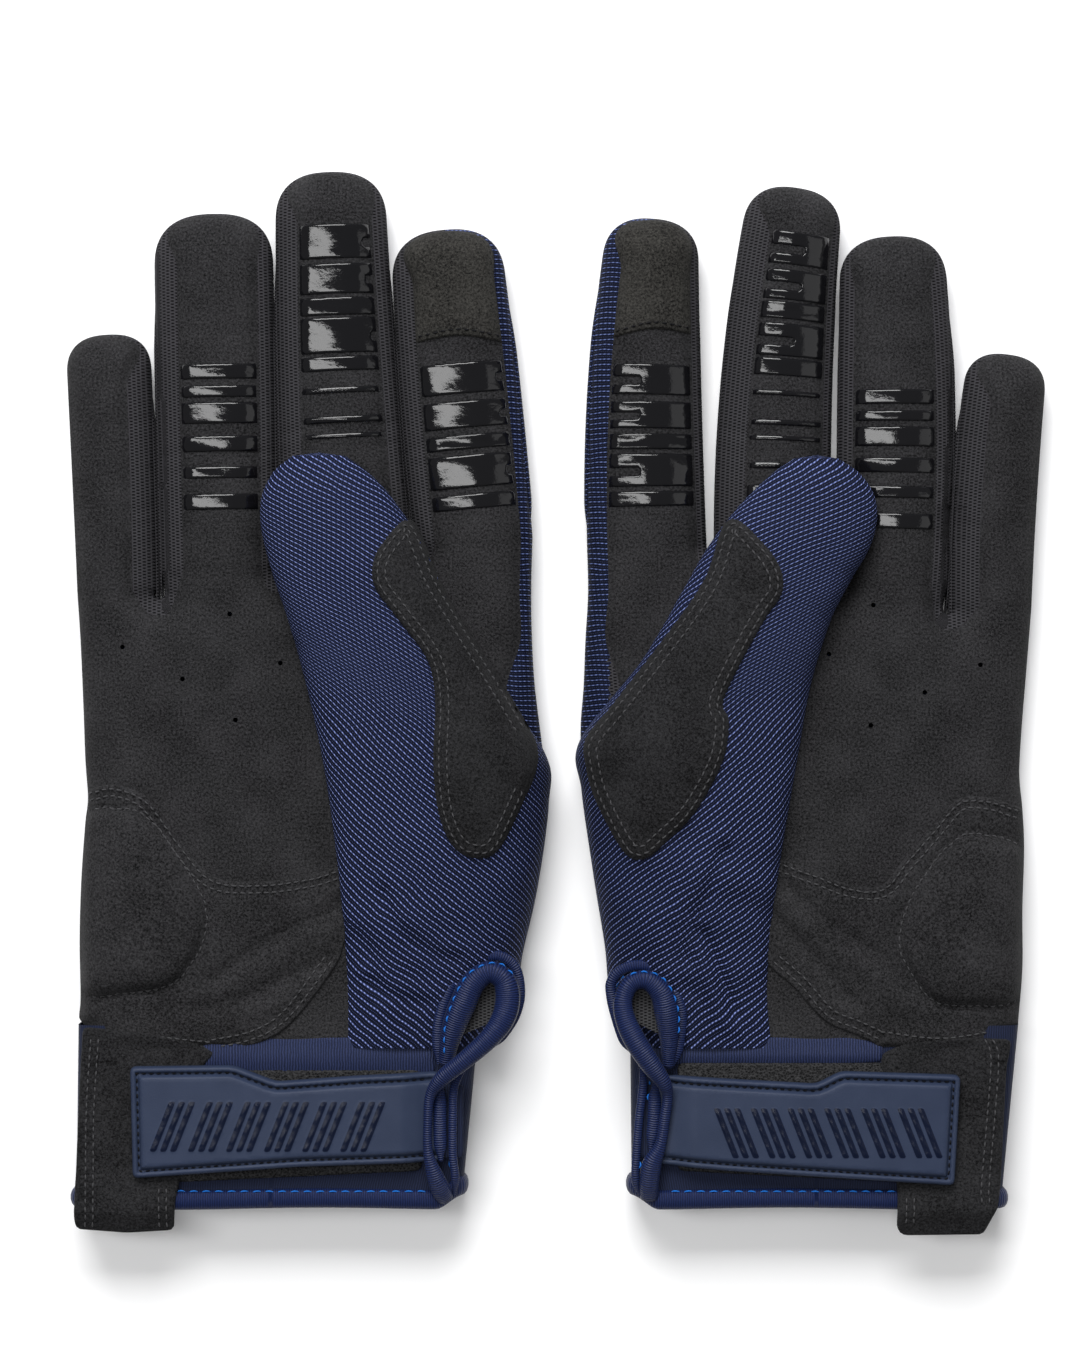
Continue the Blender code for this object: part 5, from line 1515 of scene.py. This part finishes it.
def hem(glove, mats):
    """Binding tape round the end of the cuff, and round the slit, with its blue stitching."""
    line = cuff_line(glove, CUFF_END_Y)
    end_u = CUFF_SIDES[glove.hand][1][1]
    path = np.column_stack([line[:, 0], np.full(len(line), HEM_Y), line[:, 1]])
    path[:, 2] = 1.75 + (path[:, 2] - path[:, 2].min()) * (11.9 / (path[:, 2].max() - path[:, 2].min()))
    path[:, 1] += 0.25 * np.sin(path[:, 0] * 0.09) + 3.0 * smoothstep((path[:, 0] - end_u + 6.0) / 6.0)
    n, sides = len(path), TUBE_SIDES
    out = path - path.mean(0)
    out[:, 1] = 0
    tangent = np.roll(path, -1, 0) - np.roll(path, 1, 0)
    tangent /= np.linalg.norm(tangent, axis=1)[:, None]
    normal = np.cross(tangent, np.array([0, 1.0, 0]))
    normal *= np.sign((normal * out).sum(1))[:, None]
    angle = np.arange(sides) * 2 * math.pi / sides
    c, s = np.cos(angle)[None, :, None], np.sin(angle)[None, :, None]
    ring = c * np.array([0, 2.2, 0]) + s * normal[:, None] * 1.35
    verts = (path[:, None, :] + ring).reshape(-1, 3)
    along = np.arange(n) * perimeter(line) / n
    cloth = np.zeros((n, sides, 2))
    cloth[:, :, 0] = along[:, None]
    cloth[:, :, 1] = np.abs(np.arange(sides) - sides / 2)[None, :] * 0.8
    faces = quads_to_triangles(grid_faces(n + 1, sides, True) % (n * sides))
    normals = vertex_normals(verts, faces)
    if ((verts - np.repeat(path, sides, axis=0)) * normals).sum() < 0:
        faces = faces[:, ::-1]
    tape = [(verts, faces, cloth.reshape(-1, 2))]
    for route, radius, aspect in ((ROLL[glove.hand], None, 0.85), (FLANGE[glove.hand], 1.2, 0.55),
                                  (LEG_FLANGE[glove.hand], 0.95, 0.6), (LEG_INNER[glove.hand], 1.5, 0.55)):
        path = spline(route, 0.7)
        sizes = path[:, 3] if radius is None else np.full(len(path), radius)
        if radius is not None:
            ends = np.minimum(np.arange(len(path)), np.arange(len(path))[::-1])
            sizes = sizes * (0.35 + 0.65 * smoothstep(ends / 6))
        v, f, c = sweep(path[:, :3], sizes, aspect)
        tape.append((v, quads_to_triangles(f), c))
    verts, faces, cloth = join_parts(tape)
    obj = glove.piece("cuff_binding", verts, faces, cloth, mats["tape"], "navy_binding")
    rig.ride(obj, glove.body("hand"))
    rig.replaces(obj, f"{glove.hand}_cuff_binding")
    sheet = verts, faces
    ground = Ground(sheet)
    flange = spline(FLANGE_STITCHES[glove.hand], 0.8)
    leg = spline(LEG_STITCHES[glove.hand], 0.8)
    end = np.array([(u, HEM_Y + 1.75) for u in np.arange(-84.0, end_u - 9, 1.0)])
    rows = [stitch_row(flange, ground, 2.5, 1.5, high=0.3, lift=0.1, seed=31),
            stitch_row(leg, ground, 2.7, 1.5, high=0.3, lift=0.1, seed=32),
            stitch_row(end, ground, 2.9, 1.9, high=0.3, seed=33)]
    obj = glove.stitching("binding_stitching", rows, mats["thread_blue"], "navy_binding")
    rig.ride(obj, glove.body("hand"))
    return sheet


def strap_profile(edge):
    """Height over the tab: a rolled rim, a stitched groove and the raised field inside it."""
    rim = 1.25 * puff(edge, 0.7, 2.0)
    groove = 0.65 * (smoothstep((edge - 1.1) / 0.3) - smoothstep((edge - 1.85) / 0.25))
    field = 0.6 * smoothstep((edge - 1.95) / 0.75)
    return rim - groove + field


def strap(glove, cuff_ground, mats):
    hand = glove.hand
    sharp = np.array(STRAP[hand])
    loop = resample_loop(rounded(sharp, 1.3), 0.7)
    marks = grip_marks(hand, loop)
    verts, faces = triangulate([loop], [close(m) for m in marks], spacing=0.62,
                               rows=(0.12, 0.35, 0.65, 1.1, 1.3, 1.6, 1.85, 2.1, 2.4, 2.75))
    root = verts[:, 0].max()
    edge = distance_to(verts, from_gap(loop[loop[:, 0] < root - 0.4]), closed=False)
    bow = 0.35 * np.sin((verts[:, 0] - verts[:, 0].min()) / np.ptp(verts[:, 0]) * math.pi)
    sink = 1.7 * smoothstep((verts[:, 0] - root + 9.0) / 7.0)
    z = 16.3 + strap_profile(edge) + bow - sink
    for mark in marks:
        z += 0.3 * smoothstep(np.where(inside(verts, mark), distance_to(verts, mark), 0) / 0.3)
    top = np.column_stack([verts, z])
    top, faces = skirt(top, faces, 1.1)
    middle = top[faces][:, :, :2].mean(1)
    on_mark = np.zeros(len(faces), bool)
    for mark in marks:
        on_mark |= inside(middle, mark)
    normals = vertex_normals(top, faces)
    plain = glove.piece("strap_tab", top, faces, top, mats["rubber"], "navy_rubber", normals, ~on_mark)
    bend_strap(glove, plain)
    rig.replaces(plain, f"{hand}_strap_tab")
    raised = glove.piece("strap_grip_marks", top, faces, top, mats["rubber_dark"], "navy_rubber", normals,
                         on_mark)
    bend_strap(glove, raised)
    inner = shrink_loop(loop, 1.48)
    on = Ground((top, faces))
    verts, faces, cloth = stitch_row(close(inner), on, 1.7, 1.15, high=0.22, seed=41)
    keep = (verts[:, 0] < root - 2.5)[faces].all(1)
    obj = glove.piece("strap_stitching", verts, faces, cloth, mats["thread_black"], "navy_rubber", None, keep)
    bend_strap(glove, obj)
    hook_loop = shrink_loop(loop, 2.2)
    hook_loop = hook_loop[hook_loop[:, 0] < root - 8.0]
    verts, faces = triangulate([hook_loop], spacing=1.2, rows=(0.3,))
    low = np.column_stack([verts, 15.5 + 0.25 * np.abs(wrinkle(verts, 1.3, 7.0))])
    low, faces = skirt(low, faces[:, ::-1], -0.7)
    obj = glove.piece("strap_hooks", low, faces, low, mats["pile"], "black_hook_loop")
    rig.ride(obj, glove.body("strap"))
    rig.replaces(obj, f"{hand}_hook_patch")
    loop_field(glove, cuff_ground, mats)


def bend_strap(glove, obj):
    """The tab folds open just outside the binding, where its root stays sewn to the cuff."""
    joint = next(j for j in frame["joints"] if j["name"] == f"{glove.hand}_strap_open")
    pivot, inwards = Vector(joint["pos_m"]), Vector((glove.sign * MM, 0, 0))
    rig.blend(obj, glove.body("hand"), glove.body("strap"), pivot - inwards * 0.5, pivot - inwards * 6.5)


def rounded(points, radius):
    """The outline with its corners rounded."""
    out = []
    count = len(points)
    for i in range(count):
        here, before, after = points[i], points[i - 1], points[(i + 1) % count]
        a, b = before - here, after - here
        enter, leave = here + a / np.linalg.norm(a) * radius, here + b / np.linalg.norm(b) * radius
        for t in np.linspace(0, 1, 6):
            out.append(enter * (1 - t) ** 2 + here * 2 * t * (1 - t) + leave * t * t)
    return np.array(out)


def shrink_loop(loop, by):
    """The outline moved inwards."""
    moved = loop + inwards(loop) * by
    return moved[distance_to(moved, loop) > by * 0.97]


def grip_marks(hand, loop):
    """Plain slanted ribs in groups of three, in place of any lettering."""
    low, high = loop.min(0), loop.max(0)
    start, end = GRIP_MARK_SPAN[hand]
    groups, pitch, tall, wide, lean = 6, 2.25, 5.6, 0.72, 2.2
    middle = (low[1] + high[1]) / 2 - 0.9
    marks = []
    for k in range(groups):
        for j in (-1, 0, 1):
            u = start + (end - start) * k / (groups - 1) + j * pitch
            marks.append(np.array([(u - wide - lean, middle - tall), (u + wide - lean, middle - tall),
                                   (u + wide + lean, middle + tall), (u - wide + lean, middle + tall)]))
    return [resample_loop(rounded(m, 0.4), 0.5) for m in marks]


def loop_field(glove, cuff_ground, mats):
    """Fuzzy loop pile under the tab."""
    hand = glove.hand
    start, end, top_y = LOOP_FIELD[hand]
    field = np.array([(start, top_y), (end, top_y), (end, -105.0), (start, -107.6)])
    loop = resample_loop(rounded(field, 1.5), 0.9)
    verts, faces = triangulate([loop], spacing=0.7, rows=(0.25, 0.6))
    rng = np.random.default_rng(5)
    base, _ = cuff_ground.height(verts, 13.4)
    edge = distance_to(verts, loop)
    z = np.maximum(base, 13.2) + 0.35 + 0.5 * puff(edge, 0.8, 2) + rng.uniform(0, 0.45, len(verts))
    top = np.column_stack([verts, z])
    top[:, :2] += rng.uniform(-0.16, 0.16, (len(verts), 2)) * (edge > 0.2)[:, None]
    top, faces = skirt(top, faces, 0.9)
    obj = glove.piece("loop_field", top, faces, top, mats["pile"], "black_hook_loop")
    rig.ride(obj, glove.body("hand"))
    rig.replaces(obj, f"{hand}_loop_patch")


def lycra_strip(glove, ground, mats):
    """Pale ribbed strip between the thumb's knit and the strap."""
    hand = glove.hand
    end = max(p[0] for p in STRAP[hand])
    start, low_y = LYCRA[hand]
    outline = [(start, -76.2), (-66.0, -75.0), (-50.0, -75.0), (end - 0.5, -75.0), (end - 1.0, low_y),
               (-50.0, low_y), (-66.0, low_y), (start, low_y + 0.6)]
    loop = resample_loop(rounded(np.array(outline), 1.0), 0.9)

    def soft(points, edge):
        swell = 0.5 * np.exp(-((points[:, 1] + 79.6) / 2.6) ** 2)
        return (swell + 0.2 * wrinkle(points, 6, 2.9)) * smoothstep(edge / 2)

    verts, faces = patch(loop, ground, 0.5, 0.5, 1.0, 0.8, soft, default=13.0)
    obj = glove.piece("lycra_strip", verts, faces, verts, mats["lycra"], "navy_neoprene")
    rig.ride(obj, glove.body("hand"))
    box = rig.box(f"{hand}_strap_anchor")
    near, far = sorted(abs(v) / MM for v in (box[0].x, box[1].x))
    low, high = box[0].y / MM, box[1].y / MM
    root = [(-far, low), (-near, low), (-near, high), (-far, high)]
    loop = resample_loop(rounded(np.array(root), 0.8), 0.8)
    verts, faces = triangulate([loop], spacing=1.2, rows=(0.3,))
    z = box[1].z / MM - 0.5 + 0.4 * puff(distance_to(verts, loop), 1.0)
    top, faces = skirt(np.column_stack([verts, z]), faces, 0.7)
    obj = glove.piece("strap_anchor", top, faces, top, mats["band"], "navy_neoprene")
    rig.ride(obj, glove.body("hand"))
    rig.replaces(obj, f"{hand}_strap_anchor")


def pull_tab(glove, ground, mats):
    """Suede tab on the little side of the cuff, double stitched, for pulling the glove on."""
    hand = glove.hand
    loop = resample_loop(rounded(np.array(PULL_TAB[hand]), 1.2), 0.9)
    verts, faces = triangulate([loop], spacing=1.2, rows=(0.2, 0.6))
    edge = distance_to(verts, loop)
    base, _ = ground.height(verts, 12.8)
    soft = 13.9 + 1.3 * smoothstep((-verts[:, 1] - 105.0) / 5.0) - 2.2 * smoothstep((-verts[:, 1] - 112.8) / 6.5)
    base = np.where(verts[:, 1] < -113.0, soft, np.maximum(base, np.minimum(soft, 14.6)))
    z = base + 0.35 + 0.75 * puff(edge, 0.9, 2) + 0.3 * wrinkle(verts, 11, 4.4 + glove.sign)
    z -= 0.3 * smoothstep((verts[:, 1] + 79.5) / 2.5)
    top, faces = skirt(np.column_stack([verts, z]), faces, 1.0)
    obj = glove.piece("pull_tab", top, faces, top, mats["suede_dark"], "black_suede")
    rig.ride(obj, glove.body("hand"))
    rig.replaces(obj, f"{hand}_pull_tab")
    on = Ground((top, faces))
    near, foot = PULL_TAB[hand][1], PULL_TAB[hand][3]
    inner = PULL_TAB[hand][6]
    rows = []
    for k, inset in enumerate((1.9, 3.6)):
        line = spline([(near[0] + inset + 1.0, -76.0), (near[0] + inset, near[1]),
                       (foot[0] + inset + 0.4, foot[1] + 2.6), (foot[0] + inset + 0.2, foot[1] + 1.2)], 1.0)
        rows.append(stitch_row(line, on, seed=50 + k))
        line = np.array([(inner[0] - inset, inner[1] + 2.0), (inner[0] - inset, foot[1] + 1.2)])
        rows.append(stitch_row(line, on, seed=54 + k))
    obj = glove.stitching("pull_tab_stitching", rows, mats["thread"], "black_suede")
    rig.ride(obj, glove.body("hand"))


def slit_lining(glove, mats):
    """The dark mesh seen through the loop of the slit binding."""
    route = np.array(ROLL[glove.hand])[BODY_ROLL[glove.hand], :2]
    loop = resample_loop(route, 0.9)
    verts, faces = triangulate([loop], spacing=1.3, rows=())
    top = np.column_stack([verts, np.full(len(verts), 16.4) + 0.3 * wrinkle(verts, 3, 2.0)])
    obj = glove.piece("slit_lining", top, faces, verts, mats["hole_mesh"], "black_mesh")
    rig.ride(obj, glove.body("hand"))


# ---------------------------------------------------------------- light and camera
FLOOR_REACH, FLOOR_DROP = 3.0, -0.0003   # metres; the floor lies a little under the gloves
WORLD_STRENGTH = 0.23
LIGHTS = (   # name, place, size in metres, power in watts
    ("overhead strip", (-0.34, 0.10, 1.10), (0.20, 0.95), 5.4),
    ("key softbox", (-0.15, 1.05, 0.95), (0.9, 0.7), 26.0),
    ("side fill", (1.10, -0.10, 0.75), (0.8, 1.0), 2.0),
)
CAMERA_PLACE = (-0.0034, 0.0063, 0.012 + 0.844)
CAMERA_LENS, SENSOR_WIDTH = 100, 36      # millimetres


def studio():
    scene = bpy.context.scene
    mesh = bpy.data.meshes.new("floor")
    size, drop = FLOOR_REACH, FLOOR_DROP
    mesh.from_pydata([(-size, -size, drop), (size, -size, drop), (size, size, drop), (-size, size, drop)], [],
                     [(0, 1, 2, 3)])
    floor = bpy.data.objects.new("floor", mesh)
    scene.collection.objects.link(floor)
    mesh.materials.append(Nodes("pale paper").finish(
        Base_Color=(0.93, 0.93, 0.935, 1), Roughness=0.9, Emission_Color=(1, 1, 1, 1), Emission_Strength=0.05))
    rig.stage(floor)
    world = bpy.data.worlds.new("studio")
    scene.world = world
    world.use_nodes = True
    world.node_tree.nodes["Background"].inputs["Color"].default_value = (1, 1, 1, 1)
    world.node_tree.nodes["Background"].inputs["Strength"].default_value = WORLD_STRENGTH
    for name, place, size, power in LIGHTS:
        data = bpy.data.lights.new(name, "AREA")
        data.shape = "RECTANGLE"
        data.size, data.size_y = size
        data.energy = power
        lamp = bpy.data.objects.new(name, data)
        scene.collection.objects.link(lamp)
        lamp.location = place
        lamp.rotation_euler = (Vector((0, 0, 0)) - Vector(place)).to_track_quat("-Z", "Y").to_euler()
    camera = bpy.data.objects.new("camera", bpy.data.cameras.new("camera"))
    scene.collection.objects.link(camera)
    camera.data.lens = CAMERA_LENS
    camera.data.sensor_width = SENSOR_WIDTH
    camera.location = CAMERA_PLACE
    camera.rotation_euler = (0, 0, 0)
    scene.camera = camera
    scene.view_settings.view_transform = "Standard"
    scene.view_settings.look = "None"


# ---------------------------------------------------------------- the pair
def build_glove(hand, mats):
    glove = Glove(hand)
    fingers = {name: Finger(hand, name) for name in FINGER_ORDER}
    ground, top, faces = hand_sheets(glove, fingers, mats)
    heel_sheet = heel(glove, ground, mats)
    silicone(glove, fingers, ground, mats)
    index_overlay(glove, fingers, ground, mats)
    thumb(glove, mats)
    cuff_ground, cuff_verts, cuff_faces = cuff(glove, mats)
    tape = hem(glove, mats)
    slit_lining(glove, mats)
    strap(glove, cuff_ground, mats)
    lycra_strip(glove, cuff_ground, mats)
    pull_tab(glove, Ground((top, faces), (cuff_verts, cuff_faces), tape, heel_sheet), mats)


def main():
    mats = make_materials()
    studio()
    for hand in HANDS:
        build_glove(hand, mats)
    sizes = {"cad": CAD_BOX, "visual": [list(corner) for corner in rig.bounds()]}
    with open("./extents.json", "w") as f:
        json.dump(sizes, f)


main()
